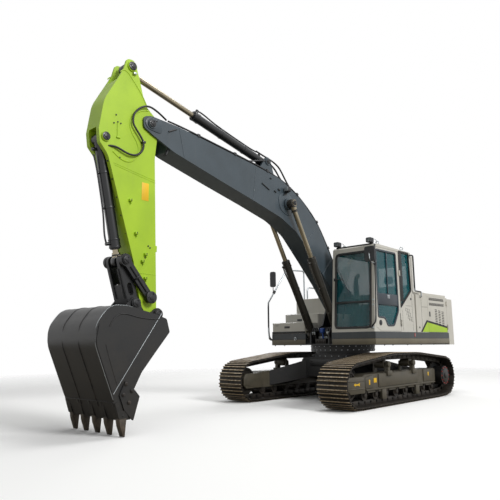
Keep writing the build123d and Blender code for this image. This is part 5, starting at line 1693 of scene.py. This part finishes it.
def pin_cap(at: Flat, y: float, radius: float, side: int = 1, thick: float = 0.012) -> list[Thing]:
    """A pin's end: retaining disc, hub and its locking bolt.

    Args:
        at: The pin's place in the side view.
        y: Height of the face it sits on, always positive.
        radius: Disc radius.
        side: 1 for the left face, -1 for the right.
        thick: Disc thickness.

    Returns:
        The pieces.
    """
    x, z = at
    s = side
    disc = BENCH.drum((x, s * (y - 0.002), z), (x, s * (y + thick), z), radius, 36, 0.004)
    hub = BENCH.drum((x, s * y, z), (x, s * (y + thick + 0.008), z), radius * 0.45, 28, 0.003)
    bolt = BENCH.drum((x + radius * 0.70, s * y, z), (x + radius * 0.70, s * (y + thick + 0.010), z),
                      radius * 0.16, 6)
    return [disc, hub, *BENCH.around(bolt, (x, 0, z), (0, 1, 0), 3)]


@dataclass
class Boom:
    """Pipes, clamps, seams, lamp and pin caps of the boom."""

    half: float = 0.200
    solid: Thing | None = None
    stations: tuple[float, ...] = (4.93, 4.70, 4.30, 3.90, 3.45, 3.00, 2.56, 2.19, 1.86, 1.53, 1.28, 1.03,
                                   0.87, 0.712,
                                   0.55, 0.40, 0.26)

    def ridge(self, x: float, y: float, lift: float) -> Point:
        """A point above the boom's back.

        Args:
            x: Its place along the machine.
            y: Its distance from the middle.
            lift: Height above the plate.

        Returns:
            The point.
        """
        lean = Vector((-0.45, 0, 1.0)).normalized() if x < 2.6 else Vector((0, 0, 1))
        foot = Vector((x, y, 0)) + Vector((0, 0, 1)) * (4.0 if x > 2.6 else 1.9 + x * 0.95)
        return BENCH.touch(self.solid, tuple(foot + lean * 1.5), tuple(foot), lift)

    def pipes(self) -> None:
        """Oil pipes along the left edge of the boom's back, and their clamps."""
        lines = []
        for y in (0.190, 0.150, 0.110):
            lines.append(BENCH.bar([self.ridge(x, min(y, self.half - 0.012), 0.030) for x in self.stations],
                                   0.0145, 3))
        hand_over("boom_left_pipes", lines, Body.BOOM, FINISH.hose)
        clamps = []
        for k in range(2, len(self.stations) - 1, 2):
            before, after = self.ridge(self.stations[k - 1], 0.15, 0.0), self.ridge(self.stations[k + 1],
                                                            0.15, 0.0)
            x, _, z = self.ridge(self.stations[k], 0.15, 0.0)
            lean = math.atan2(before[2] - after[2], before[0] - after[0])
            block = BENCH.block((-0.028, 0.088, -0.004), (0.028, 0.212, 0.052), 0.006)
            bolt = BENCH.drum((0, 0.130, 0.050), (0, 0.130, 0.064), 0.010, 6)
            second = BENCH.copy(bolt, Matrix.Translation((0, 0.04, 0)))
            one = BENCH.join([block, bolt, second])
            one.data.transform(Matrix.Translation((x, 0, z)) @ Matrix.Rotation(-lean, 4, "Y"))
            clamps.append(one)
        hand_over("boom_pipe_clamps", clamps, Body.BOOM, FINISH.gloss_black)

    def seams(self) -> None:
        """Weld beads across both sides, and the raised doubler plates at the tip and middle pins."""
        beads = []
        for (x0, z0), (x1, z1) in (((4.715, 4.492), (4.600, 4.030)), ((2.905, 4.290), (2.990, 3.645)),
                                   ((1.050, 3.480), (1.500, 3.030)), ((0.60, 2.83), (0.93, 2.49))):
            for sign in (-1, 1):
                beads.append(BENCH.bar([(x0, sign * self.half, z0), (x1, sign * self.half, z1)], 0.005, 2,
                                       False))
        plate = round_corners(((5.05, 4.28), (5.32, 4.30), (5.38, 4.40), (5.32, 4.49), (5.05, 4.50)), 0.08)
        side = BENCH.plate(plate, self.half - 0.002, self.half + 0.010, 0.003)
        ring = BENCH.plate(round_corners(((1.84, 3.60), (2.02, 3.50), (2.26, 3.62), (2.30, 3.88),
                                          (2.05, 3.99), (1.84, 3.86)),
                                         0.10), self.half - 0.002, self.half + 0.010, 0.003)
        beads += [side, BENCH.mirrored(side), ring, BENCH.mirrored(ring)]
        hand_over("boom_weld_seams", beads, Body.BOOM, FINISH.slate)

    def fittings(self) -> None:
        """Small brackets and the lamp's lead on the left side, and the caps of the boom's and deck's pins."""
        marks = []
        for (x, z), (u, w), size in (((4.848, 4.405), (0.157, -0.081), 0.012),
                                     ((2.655, 3.962), (0.204, 0.087), 0.010),
                                     ((2.387, 3.922), (0.05, 0.02), 0.014),
                                     ((2.279, 3.975), (0.05, 0.02), 0.016),
                                     ((2.51, 4.148), (0.03, 0.0), 0.014),
                                     ((5.20, 4.46), (0.10, 0.0), 0.012)):
            marks.append(BENCH.bar([(x - u / 2, self.half + 0.006, z - w / 2),
                                    (x + u / 2, self.half + 0.006, z + w / 2)],
                                   size, 2, False))
        lead = BENCH.bar([(2.156, self.half + 0.02, 3.896), (2.05, self.half + 0.03, 3.95),
                          (1.97, self.half + 0.02, 4.02),
                          (1.94, self.half - 0.02, 4.11)], 0.010, 3)
        hand_over("boom_side_brackets", marks + [lead], Body.BOOM, FINISH.hose)
        caps = []
        for side in (-1, 1):
            caps += pin_cap(PIN["boom_tip"], 0.228, 0.058, side)
            caps += pin_cap(PIN["arm_cyl_foot"], 0.131, 0.048, side, 0.008)
            caps += pin_cap(PIN["boom_cyl_pin"], 0.394, 0.048, side, 0.008)
        hand_over("boom_pin_caps", caps, Body.BOOM, FINISH.gloss_black)
        foot = []
        for side in (-1, 1):
            foot += pin_cap(PIN["boom_foot"], 0.261, 0.062, side)
            foot += pin_cap(PIN["boom_cyl_foot"], 0.394, 0.060, side, 0.010)
        hand_over("foot_pin_caps", foot, Body.HOUSE, FINISH.gloss_black)

    def lamp(self) -> None:
        """Work lamp on its bracket beside the middle pins."""
        x, y, z = 2.070, self.half, 3.980
        arm = BENCH.block((x - 0.03, y - 0.002, z - 0.03), (x + 0.02, y + 0.07, z + 0.01), 0.006)
        body = BENCH.block((x - 0.02, y + 0.025, z - 0.020), (x + 0.075, y + 0.125, z + 0.075), 0.016, 3)
        hand_over("boom_lamp", [arm, body], Body.BOOM, FINISH.plastic)
        lens = BENCH.block((x + 0.072, y + 0.035, z - 0.010), (x + 0.081, y + 0.115, z + 0.065), 0.006)
        hand_over("boom_lamp_lens", [lens], Body.BOOM, FINISH.lens)

    def barrel_hoses(self) -> None:
        """Two hoses that curve from the boom's back over to the foot of the arm cylinder, left on no body."""
        for k, y in enumerate((0.055, -0.055)):
            hose = BENCH.bar([(1.704, y, 4.100), (1.86, y, 4.235), (2.00, y, 4.420), (2.12, y, 4.520),
                              (2.30, y, 4.575),
                              (2.44, y, 4.600), (2.60, y, 4.625), (2.74, y, 4.655)], 0.016, 3)
            piece = hand_over(f"barrel_hose_{k + 1}", hose, None, FINISH.hose)
            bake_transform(piece)

    def foot_hoses(self) -> None:
        """Hoses that loop from the deck behind the boom's foot up to the pipes on its back."""
        for k, y in enumerate((0.188, 0.150, 0.110)):
            end = self.ridge(self.stations[-1], y, 0.030)
            hose = BENCH.bar([(-0.62, y, 1.50), (-0.52, y, 1.72), (-0.36, y, 1.98), (-0.14, y, 2.16),
                              (0.06, y, 2.28), end],
                             0.016, 3)
            piece = hand_over(f"foot_hose_{k + 1}", hose, None, FINISH.hose)
            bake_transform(piece)

    def build(self) -> None:
        """Builds and hands over every piece of the boom."""
        self.pipes()
        self.seams()
        self.fittings()
        self.lamp()
        self.barrel_hoses()
        self.foot_hoses()


@dataclass
class Arm:
    """Seams, brackets, bolts, pin caps and hoses of the arm."""

    half: float = 0.165

    def seams(self) -> None:
        """The knuckle's curved plate edges, cross seams and the swept reinforcement round the boom pin."""
        y = self.half
        knuckle = [(5.800, 5.04), (5.771, 5.085), (5.719, 5.10), (5.665, 5.072), (5.572, 4.986),
                   (5.468, 4.877),
                   (5.381, 4.777), (5.318, 4.66)]
        beads = [BENCH.bar([(x, y, z) for x, z in knuckle], 0.008, 3)]
        sweep = [(5.291, 4.600), (5.40, 4.575), (5.511, 4.501), (5.600, 4.402), (5.625, 4.30), (5.590, 4.18),
                 (5.50, 4.08),
                 (5.445, 3.98), (5.455, 3.86), (5.54, 3.74), (5.66, 3.70), (5.78, 3.735), (5.885, 3.81)]
        beads.append(BENCH.bar([(x, y, z) for x, z in sweep], 0.010, 3))
        for (x0, z0), (x1, z1) in (((5.850, 3.622), (5.135, 3.508)), ((5.862, 3.650), (5.138, 3.540)),
                                   ((5.46, 2.135), (5.09, 2.130))):
            beads.append(BENCH.bar([(x0, y, z0), (x1, y, z1)], 0.0045, 2, False))
        both = beads + [BENCH.mirrored(bead) for bead in beads]
        heel = BENCH.plate(((5.055, 2.47), (4.975, 2.50), (4.970, 2.585), (5.06, 2.62)), -0.03, 0.03, 0.006)
        hand_over("arm_weld_seams", both + [heel], Body.ARM, FINISH.green)

    def brackets(self) -> None:
        """Pipe brackets, bosses, a row of bolts and the blank plate."""
        y = self.half
        steps = []
        bolts = []
        for x, z in ((5.585, 3.155), (5.475, 2.690), (5.300, 2.405), (5.350, 2.300), (5.295, 2.060)):
            steps.append(BENCH.block((x - 0.030, y - 0.002, z - 0.012), (x + 0.012, y + 0.040, z + 0.022),
                                     0.004))
            steps.append(BENCH.block((x - 0.026, y - 0.002, z - 0.045), (x - 0.012, y + 0.030, z + 0.01),
                                     0.003))
            for dz in (-0.006, 0.014):
                bolts.append(BENCH.drum((x - 0.014, y + 0.036, z + dz), (x - 0.014, y + 0.046, z + dz),
                                        0.007, 8))
        for x, z in ((5.240, 2.538), (5.207, 2.515), (5.289, 2.364), (5.850, 4.363), (5.883, 4.232),
                     (5.820, 4.264),
                     (5.769, 4.256), (5.770, 3.746)):
            bolts.append(BENCH.drum((x, y - 0.002, z), (x, y + 0.012, z), 0.011, 12, 0.002))
        steps.append(BENCH.bar([(5.822, y + 0.003, 4.25), (5.818, y + 0.003, 4.04)], 0.007, 2, False))
        steps.append(BENCH.block((5.775, y - 0.002, 4.025), (5.835, y + 0.020, 4.045), 0.003))
        for k in range(6):
            x, z = toward((5.985, 3.760), (5.498, 2.335), 0.10 + k * 0.26)
            bolts.append(BENCH.drum((x - 0.022, 0.128, z), (x - 0.004, 0.130, z), 0.011, 10))
        hand_over("arm_brackets", steps, Body.ARM, FINISH.green)
        hand_over("arm_bolts", bolts, Body.ARM, FINISH.hose)
        plate = BENCH.block((5.250, y - 0.001, 3.205), (5.375, y + 0.0022, 3.470), 0.001)
        hand_over("arm_blank_plate", [plate], Body.ARM, FINISH.yellow)

    def caps(self) -> None:
        """Retaining discs on the arm's pins, both sides."""
        made = []
        for side in (-1, 1):
            made += pin_cap(PIN["arm_cyl_pin"], 0.187, 0.066, side, 0.014)
            made += pin_cap(PIN["bucket_cyl_foot"], 0.187, 0.060, side, 0.014)
            made += pin_cap(PIN["rocker"], 0.2475, 0.0885, side, 0.012)
        hand_over("arm_pin_caps", made, Body.ARM, FINISH.gloss_black)
        lock = BENCH.block((5.535, 0.160, 5.075), (5.590, 0.205, 5.110), 0.008)
        hand_over("knuckle_lock", [lock, BENCH.mirrored(lock)], Body.ARM, FINISH.rail)

    def hoses(self) -> None:
        """Hoses from the boom's pipes over the tip pin and down the arm's sides, with their clips."""
        y = 0.205
        over = [(4.95, 0.172, 4.552), (5.06, 0.185, 4.600), (5.20, y, 4.640), (5.32, y + 0.01, 4.655),
                (5.45, y + 0.01, 4.60),
                (5.560, y + 0.01, 4.495), (5.600, y, 4.390), (5.575, y, 4.290)]
        for k, sign in enumerate((1, -1)):
            points = [(x, across * sign, z) for x, across, z in over]
            piece = hand_over(f"tip_hose_{k + 1}", BENCH.bar(points, 0.015, 4), None, FINISH.hose)
            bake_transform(piece)
        for k, sign in enumerate((1, -1)):
            down = [(5.575, y, 4.290), (5.530, y, 4.230), (5.450, y, 4.150), (5.385, y, 4.065),
                    (5.390, y, 3.960),
                    (5.450, y, 3.870), (5.560, y, 3.815), (5.690, y, 3.825), (5.800, 0.200, 3.868),
                    (5.905, 0.185, 3.890),
                    (5.985, 0.140, 3.870), (6.020, 0.100, 3.845)]
            bar = BENCH.bar([(px, py * sign, pz) for px, py, pz in down], 0.015, 4)
            hand_over(f"arm_side_hose_{k + 1}", bar, Body.ARM, FINISH.hose)
        clip = BENCH.block((5.36, 0.160, 4.05), (5.41, 0.224, 4.085), 0.006)
        hand_over("hose_clips", [clip, BENCH.mirrored(clip)], Body.ARM, FINISH.gloss_black)

    def build(self) -> None:
        """Builds and hands over every piece of the arm."""
        self.seams()
        self.brackets()
        self.caps()
        self.hoses()


@dataclass
class Cylinder:
    """Trim of one hydraulic cylinder: gland, ports, clamps and the pipe along its barrel."""

    name: str
    foot: Flat
    pin: Flat
    gland: float
    y: float
    barrel: Body
    rod: Body
    aside: float
    finish: Finish
    eye_half: float = 0.060
    neck: float = 0.170
    radius: float = 0.075

    def spot(self, along: float, aside: float = 0.0) -> Point:
        """A point along the cylinder, set off across it.

        Args:
            along: Distance from the foot pin.
            aside: Distance across.

        Returns:
            The point.
        """
        x, z = toward(self.foot, self.pin, along, aside)
        return x, self.y, z

    def build(self) -> None:
        """Builds the barrel's rings, bolts, pipe and ports, and the rod's eye."""
        rings = [BENCH.drum(self.spot(self.gland - 0.135), self.spot(self.gland - 0.115),
                            self.radius + 0.010, 40, 0.004),
                 BENCH.drum(self.spot(self.gland - 0.030), self.spot(self.gland - 0.006),
                            self.radius + 0.010, 40, 0.004),
                 BENCH.drum(self.spot(self.gland - 0.004), self.spot(self.gland + 0.016), 0.058, 40, 0.003)]
        screw = BENCH.drum(self.spot(self.gland - 0.008, 0.064), self.spot(self.gland + 0.010, 0.064),
                           0.0085, 6)
        axis = Vector(self.spot(1.0)) - Vector(self.spot(0.0))
        rings += BENCH.around(screw, self.spot(0.0), tuple(axis), 8)
        s = 1 if self.aside > 0 else -1
        reach = self.radius + 0.052
        ports = [BENCH.drum(self.spot(0.145, s * 0.05), self.spot(0.145, s * (reach + 0.012)), 0.024, 20,
                            0.004),
                 BENCH.drum(self.spot(self.gland - 0.075, s * 0.05),
                            self.spot(self.gland - 0.075, s * (reach + 0.018)),
                            0.026, 20, 0.004)]
        run = self.radius + 0.030
        pipe = BENCH.bar([self.spot(self.gland - 0.075, s * reach),
                          self.spot(self.gland - 0.13, s * (reach + 0.022)),
                          self.spot(self.gland - 0.30, s * (reach + 0.010)),
                          self.spot(self.gland - 0.50, s * run),
                          self.spot(0.60, s * run), self.spot(0.36, s * run),
                          self.spot(0.22, s * (run + 0.02))], 0.0135, 3)
        bands = []
        for share in (0.30, 0.62):
            at = self.gland * share
            bands.append(BENCH.drum(self.spot(at), self.spot(at + 0.028), self.radius + 0.006, 40, 0.002))
            bands.append(BENCH.drum(self.spot(at + 0.014, s * self.radius),
                                    self.spot(at + 0.014, s * (self.radius + 0.036)),
                                    0.020, 16, 0.003))
        hand_over(f"{self.name}_barrel_trim", rings + ports + [pipe] + bands, self.barrel, self.finish)
        total = math.dist(self.foot, self.pin)
        low, high = self.y - self.eye_half - 0.0012, self.y + self.eye_half + 0.0012
        x, z = self.pin
        eye = [BENCH.drum(self.spot(total - self.neck), self.spot(total - self.neck + 0.022), 0.064, 36,
                          0.004),
               BENCH.drum(self.spot(total - self.neck + 0.02), self.spot(total - 0.055), 0.0535, 36, 0.004),
               BENCH.drum((x, low, z), (x, high, z), 0.0815, 40, 0.004)]
        hand_over(f"{self.name}_rod_eye", eye, self.rod, self.finish)


@dataclass
class Linkage:
    """Caps, ribs and bands of the rocker bars, and the ribs of the bucket link."""

    def build(self) -> None:
        """Builds and hands over the pieces of both."""
        caps = []
        for side in (-1, 1):
            caps += pin_cap(PIN["link_top"], 0.239, 0.058, side, 0.010)
            x, z = PIN["rocker"]
            caps.append(BENCH.drum((x, side * 0.219, z), (x, side * 0.229, z), 0.068, 36, 0.004))
            x0, z0 = toward(PIN["rocker"], PIN["link_top"], 0.11)
            x1, z1 = toward(PIN["rocker"], PIN["link_top"], 0.54)
            rib = BENCH.bar([(x0, side * 0.221, z0), (x1, side * 0.221, z1)], 0.020, 3, False)
            (u0, w0), (u1, w1) = (toward(PIN["rocker"], PIN["link_top"], d) for d in (0.345, 0.372))
            band = BENCH.drum((u0, side * 0.196, w0), (u1, side * 0.196, w1), 0.064, 28, 0.003)
            caps += [rib, band]
        hand_over("rocker_caps", caps, Body.ROCKER, FINISH.black_steel)
        ribs = []
        for y in (-0.10, 0.10):
            a, b = toward(PIN["link_top"], PIN["link_low"], 0.10, 0.086), toward(PIN["link_top"],
                                                            PIN["link_low"], 0.52, 0.086)
            ribs.append(BENCH.bar([(a[0], y, a[1]), (b[0], y, b[1])], 0.014, 3, False))
        hand_over("link_ribs", ribs, Body.LINK, FINISH.black_steel)


@dataclass
class Bucket:
    """Weld seams, bright edge strips with painted highlights, cutter bolts, adapters, tooth caps and pin caps
    of the bucket.
    """

    solid: Thing
    half: float = 0.590
    count: int = 5
    heart: Flat = (5.760, 1.080)
    back_x: float = 6.3130

    def shell(self, y: float, start: float, end: float, lift: float, steps: int = 30) -> list[Point]:
        """Points round the rolled back, seen from a place inside the bucket.

        Args:
            y: Distance from the middle.
            start: First direction, in degrees from +X towards +Z.
            end: Last direction.
            lift: Height above the plate.
            steps: Number of points less one.

        Returns:
            The points.
        """
        points = []
        for k in range(steps + 1):
            turn = math.radians(start + (end - start) * k / steps)
            way = Vector((math.cos(turn), 0, math.sin(turn)))
            inner = Vector((self.heart[0], y, self.heart[1]))
            x, y, z = BENCH.touch(self.solid, tuple(inner + way * 1.6), tuple(inner), lift)
            points.append((min(x, self.back_x - lift), y, z))
        return points

    def seams(self) -> None:
        """Two weld beads round the shell, the lines on the cheeks and the bright strips on the cheek's
        diagonal edge and rim: painted highlights on edges rubbed to bare metal.
        """
        beads = [BENCH.bar(self.shell(y, -72.0, 84.0, 0.001), 0.0075, 2) for y in (-0.20, 0.20)]
        for sign in (-1, 1):
            y = sign * (self.half + 0.001)
            beads.append(BENCH.bar([(6.115, y, 1.36), (6.09, y, 1.43), (6.02, y, 1.505), (5.90, y, 1.535),
                                    (5.69, y, 1.478),
                                    (5.56, y, 1.468), (5.36, y, 1.462)], 0.008, 2))
            beads.append(BENCH.bar([(6.165, y, 1.135), (6.09, y, 0.90), (5.985, y, 0.64)], 0.003, 2))
        hand_over("bucket_weld_seams", beads, Body.BUCKET, FINISH.seam)
        # Painted highlights: bright strips along the cheek's diagonal edge and the shell's rim, on edges
        # rubbed to bare metal.
        edges = []
        for sign in (-1, 1):
            y = sign * (self.half + 0.001)
            edges.append(BENCH.bar([(5.306, y, 1.545), (6.035, y, 0.530)], 0.0055, 2, False))
            edges.append(BENCH.bar(self.shell(sign * (self.half - 0.004), -66.0, 88.0, 0.0005), 0.0042, 2))
        hand_over("bucket_rubbed_edge_highlights", edges, Body.BUCKET, FINISH.edge)

    def lip(self) -> None:
        """Tooth adapters, the lip's edge, the cutters' bolts and the tooth caps."""
        spacing = 2 * (self.half - 0.040) / (self.count - 1)
        rows = [-self.half + 0.040 + k * spacing for k in range(self.count)]
        ribs = []
        for y in rows:
            ribs.append(BENCH.plate(((5.952, 0.262), (5.984, 0.345), (6.028, 0.428), (5.985, 0.436),
                                     (5.918, 0.270)),
                                    y - 0.028, y + 0.028, 0.006))
            ribs.append(BENCH.drum((5.890, y - 0.056, 0.262), (5.890, y + 0.056, 0.262), 0.016, 16, 0.003))
        hand_over("tooth_adapters", ribs, Body.BUCKET, FINISH.bucket)
        edge = BENCH.block((5.966, -self.half + 0.004, 0.430), (6.030, self.half - 0.004, 0.440), 0.004)
        edge.data.transform(Matrix.Translation((6.0, 0, 0.435)) @ Matrix.Rotation(math.radians(24), 4, "Y")
                            @ Matrix.Translation((-6.0, 0, -0.435)))
        hand_over("lip_edge", [edge], Body.BUCKET, FINISH.bucket)
        bolts = []
        for sign in (-1, 1):
            for x, z in ((5.865, 0.645), (5.775, 0.555), (5.900, 0.515), (5.815, 0.415)):
                y = sign * (self.half + 0.016)
                bolts.append(BENCH.drum((x, y, z), (x, y + sign * 0.018, z), 0.024, 20, 0.004))
                bolts.append(BENCH.drum((x, y, z), (x, y + sign * 0.030, z), 0.014, 6))
        hand_over("cutter_bolts", bolts, Body.BUCKET, FINISH.black_steel)
        tip = [BENCH.plate(((5.8495, 0.0060), (5.8745, 0.0060), (5.9252, 0.140), (5.9452, 0.2465),
                            (5.8288, 0.2465)),
                           y - 0.0435, y + 0.0435, 0.006) for y in rows]
        hand_over("tooth_caps", tip, Body.BUCKET, FINISH.tooth)

    def ears(self) -> None:
        """Pin caps on the ears."""
        caps = []
        for side in (-1, 1):
            caps += pin_cap(PIN["bucket"], 0.233, 0.060, side)
            caps += pin_cap(PIN["link_low"], 0.233, 0.060, side)
        hand_over("bucket_pin_caps", caps, Body.BUCKET, FINISH.black_steel)

    def build(self) -> None:
        """Builds and hands over every piece of the bucket."""
        self.seams()
        self.lip()
        self.ears()


# ---------------------------------------------------------------- studio

@dataclass
class Studio:
    """Floor, lights, world and camera."""

    eye: Point = (10.028, 6.557, 1.129)
    yaw: float = -137.495
    pitch: float = 9.672
    roll: float = -0.546
    lens: float = 39.60

    def floor(self) -> None:
        """A pale floor disc that fades out at its rim."""
        BENCH.clear()
        bpy.ops.mesh.primitive_circle_add(vertices=96, radius=17, fill_type="NGON",
                                          location=(1.5, 0, -0.002))
        disc = BENCH.settle(bpy.context.object)
        disc.name = "studio_floor"
        made = bpy.data.materials.new("pale_studio_floor")
        made.use_nodes = True
        tree = made.node_tree
        shader = tree.nodes["Principled BSDF"]
        seen = add_node(tree, "ShaderNodeLightPath").outputs["Is Camera Ray"]
        tree.links.new(blend_colours(tree, seen, linear("8E887C"), linear("F8F8F7")),
                       shader.inputs["Base Color"])
        shader.inputs["Roughness"].default_value = 0.9
        where = add_node(tree, "ShaderNodeTexCoord").outputs["Object"]
        length = add_node(tree, "ShaderNodeVectorMath", {"operation": "LENGTH"}, {"0": where})
        fade = ramp(tree, length.outputs["Value"], 15.5, 8.5)
        tree.links.new(fade, shader.inputs["Alpha"])
        disc.data.materials.append(made)

    def world(self) -> None:
        """Even surroundings, dim as a light but white to the camera, in reflections and through panes."""
        world = bpy.data.worlds.new("studio")
        bpy.context.scene.world = world
        world.use_nodes = True
        tree = world.node_tree
        background = tree.nodes["Background"]
        background.inputs["Color"].default_value = (1, 1, 1, 1)
        path = add_node(tree, "ShaderNodeLightPath")
        seen = add_node(tree, "ShaderNodeMath", {"operation": "MAXIMUM"},
                        {"0": path.outputs["Is Camera Ray"], "1": path.outputs["Is Transmission Ray"]})
        level = add_node(tree, "ShaderNodeMapRange", {"To Min": 0.36, "To Max": 1.0},
                         {"Value": seen.outputs[0]})
        glossy = add_node(tree, "ShaderNodeMath", {"operation": "MAXIMUM"},
                          {"0": level.outputs["Result"], "1": path.outputs["Is Glossy Ray"]})
        tree.links.new(glossy.outputs[0], background.inputs["Strength"])

    def lamp(self, name: str, place: Point, target: Point, size: float, power: float) -> None:
        """Adds one soft square light.

        Args:
            name: Its name.
            place: Where it stands.
            target: The point it faces.
            size: Side length.
            power: Watts.
        """
        data = bpy.data.lights.new(name, "AREA")
        data.size = size
        data.energy = power
        lamp = bpy.data.objects.new(name, data)
        bpy.context.collection.objects.link(lamp)
        lamp.location = place
        lamp.rotation_euler = (Vector(target) - Vector(place)).to_track_quat("-Z", "Y").to_euler()

    def camera(self) -> None:
        """Places the camera."""
        yaw, pitch, roll = (math.radians(v) for v in (self.yaw, self.pitch, self.roll))
        ahead = Vector((math.cos(pitch) * math.cos(yaw), math.cos(pitch) * math.sin(yaw), math.sin(pitch)))
        right = Vector((math.sin(yaw), -math.cos(yaw), 0))
        up = right.cross(ahead)
        turned = right * math.cos(roll) + up * math.sin(roll)
        upward = up * math.cos(roll) - right * math.sin(roll)
        data = bpy.data.cameras.new("view")
        data.lens = self.lens
        data.sensor_width = 36.0
        data.clip_end = 200.0
        camera = bpy.data.objects.new("view", data)
        bpy.context.collection.objects.link(camera)
        turn = Matrix((turned, upward, -ahead)).transposed().to_4x4()
        camera.matrix_world = Matrix.Translation(self.eye) @ turn
        bpy.context.scene.camera = camera

    def build(self) -> None:
        """Sets up the whole studio."""
        self.camera()
        self.floor()
        self.world()
        self.lamp("key", (3.0, 24.0, 17.0), (1.5, 0, 2.2), 8.0, 5200)
        self.lamp("top", (-1.0, 2.0, 16.0), (1.5, 0, 2.0), 6.0, 900)
        self.lamp("back", (-10.0, -10.0, 8.0), (0, 0, 1.8), 5.0, 400)
        bpy.context.scene.view_settings.view_transform = "Standard"


# Each: name, foot pin, rod pin, gland from the foot, side, barrel body, rod body, side of the pipe and finish,
# then half the eye's width and the eye's neck where they differ from the large cylinders.
CYLINDERS = (
    Cylinder("left_boom_cylinder", PIN["boom_cyl_foot"], PIN["boom_cyl_pin"], 1.690, 0.318,
             Body.BOOM_BARRELS,
             Body.BOOM_RODS, -1.0, FINISH.barrel),
    Cylinder("right_boom_cylinder", PIN["boom_cyl_foot"], PIN["boom_cyl_pin"], 1.690, -0.318,
             Body.BOOM_BARRELS,
             Body.BOOM_RODS, -1.0, FINISH.barrel),
    Cylinder("arm_cylinder", PIN["arm_cyl_foot"], PIN["arm_cyl_pin"], 1.830, 0.0, Body.ARM_BARREL,
             Body.ARM_ROD,
             1.0, FINISH.gloss_black),
    Cylinder("bucket_cylinder", PIN["bucket_cyl_foot"], PIN["link_top"], 1.560, 0.0, Body.BUCKET_BARREL,
             Body.BUCKET_ROD, 1.0, FINISH.gloss_black, 0.045, 0.100),
)


# ---------------------------------------------------------------- finishes of the plain solids

NODE_FINISH: dict[str, str] = {
    "track_left": "shoe", "track_right": "shoe", "track_frames": "chassis", "carbody": "black",
                               "idlers": "chain",
    "sprockets": "black", "track_rollers": "chain", "carrier_rollers": "chassis", "slew_ring_lower": "black",
    "slew_ring_upper": "black", "house_frame": "black", "skirts": "dark", "counterweight": "grey",
    "left_rear_panel": "grey", "rear_posts": "grey", "front_cover": "grey", "engine_block": "iron",
                               "fuel_tank": "grey",
    "storage_boxes": "pale", "intake_cover": "plastic", "exhaust_stack": "chain", "cab_shell": "pale",
                               "cab_glass": "glass",
    "operator_seat": "cloth", "consoles": "plastic", "roof_lamps": "plastic", "mirrors": "plastic",
                               "handrails": "rail",
    "engine_hood": "grey", "left_service_door": "grey", "right_service_door": "grey", "cab_door": "pale",
    "door_glass": "glass", "boom": "slate", "boom_pipes": "hose", "boom_cylinder_barrels": "barrel",
    "boom_cylinder_rods": "chrome", "arm": "green", "arm_cylinder_barrel": "gloss_black",
                               "arm_cylinder_rod": "chrome",
    "bucket_cylinder_barrel": "gloss_black", "bucket_cylinder_rod": "chrome", "rocker_links": "black_steel",
    "bucket_link": "black_steel", "bucket": "bucket",
}


def paint_solids(nodes: dict[str, Thing]) -> None:
    """Gives every carried-over solid its finish.

    Args:
        nodes: Name to solid.
    """
    for name, obj in nodes.items():
        finish = getattr(FINISH, NODE_FINISH[name])
        obj.data.materials.clear()
        obj.data.materials.append(finish.material())
        LOG.info("%s: %s", name, finish.name)


def main() -> None:
    """Builds the scene in order."""
    logging.basicConfig(level=logging.INFO, format="%(name)s: %(message)s")
    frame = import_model()
    Studio().build()
    paint_solids(frame["nodes"])
    TrackBelt().build()
    RunningGear().build()
    House().build()
    Cab().build()
    Boom(solid=frame["nodes"]["boom"]).build()
    Arm().build()
    for cylinder in CYLINDERS:
        cylinder.build()
    Linkage().build()
    Bucket(frame["nodes"]["bucket"]).build()


if __name__ == "__main__":
    main()
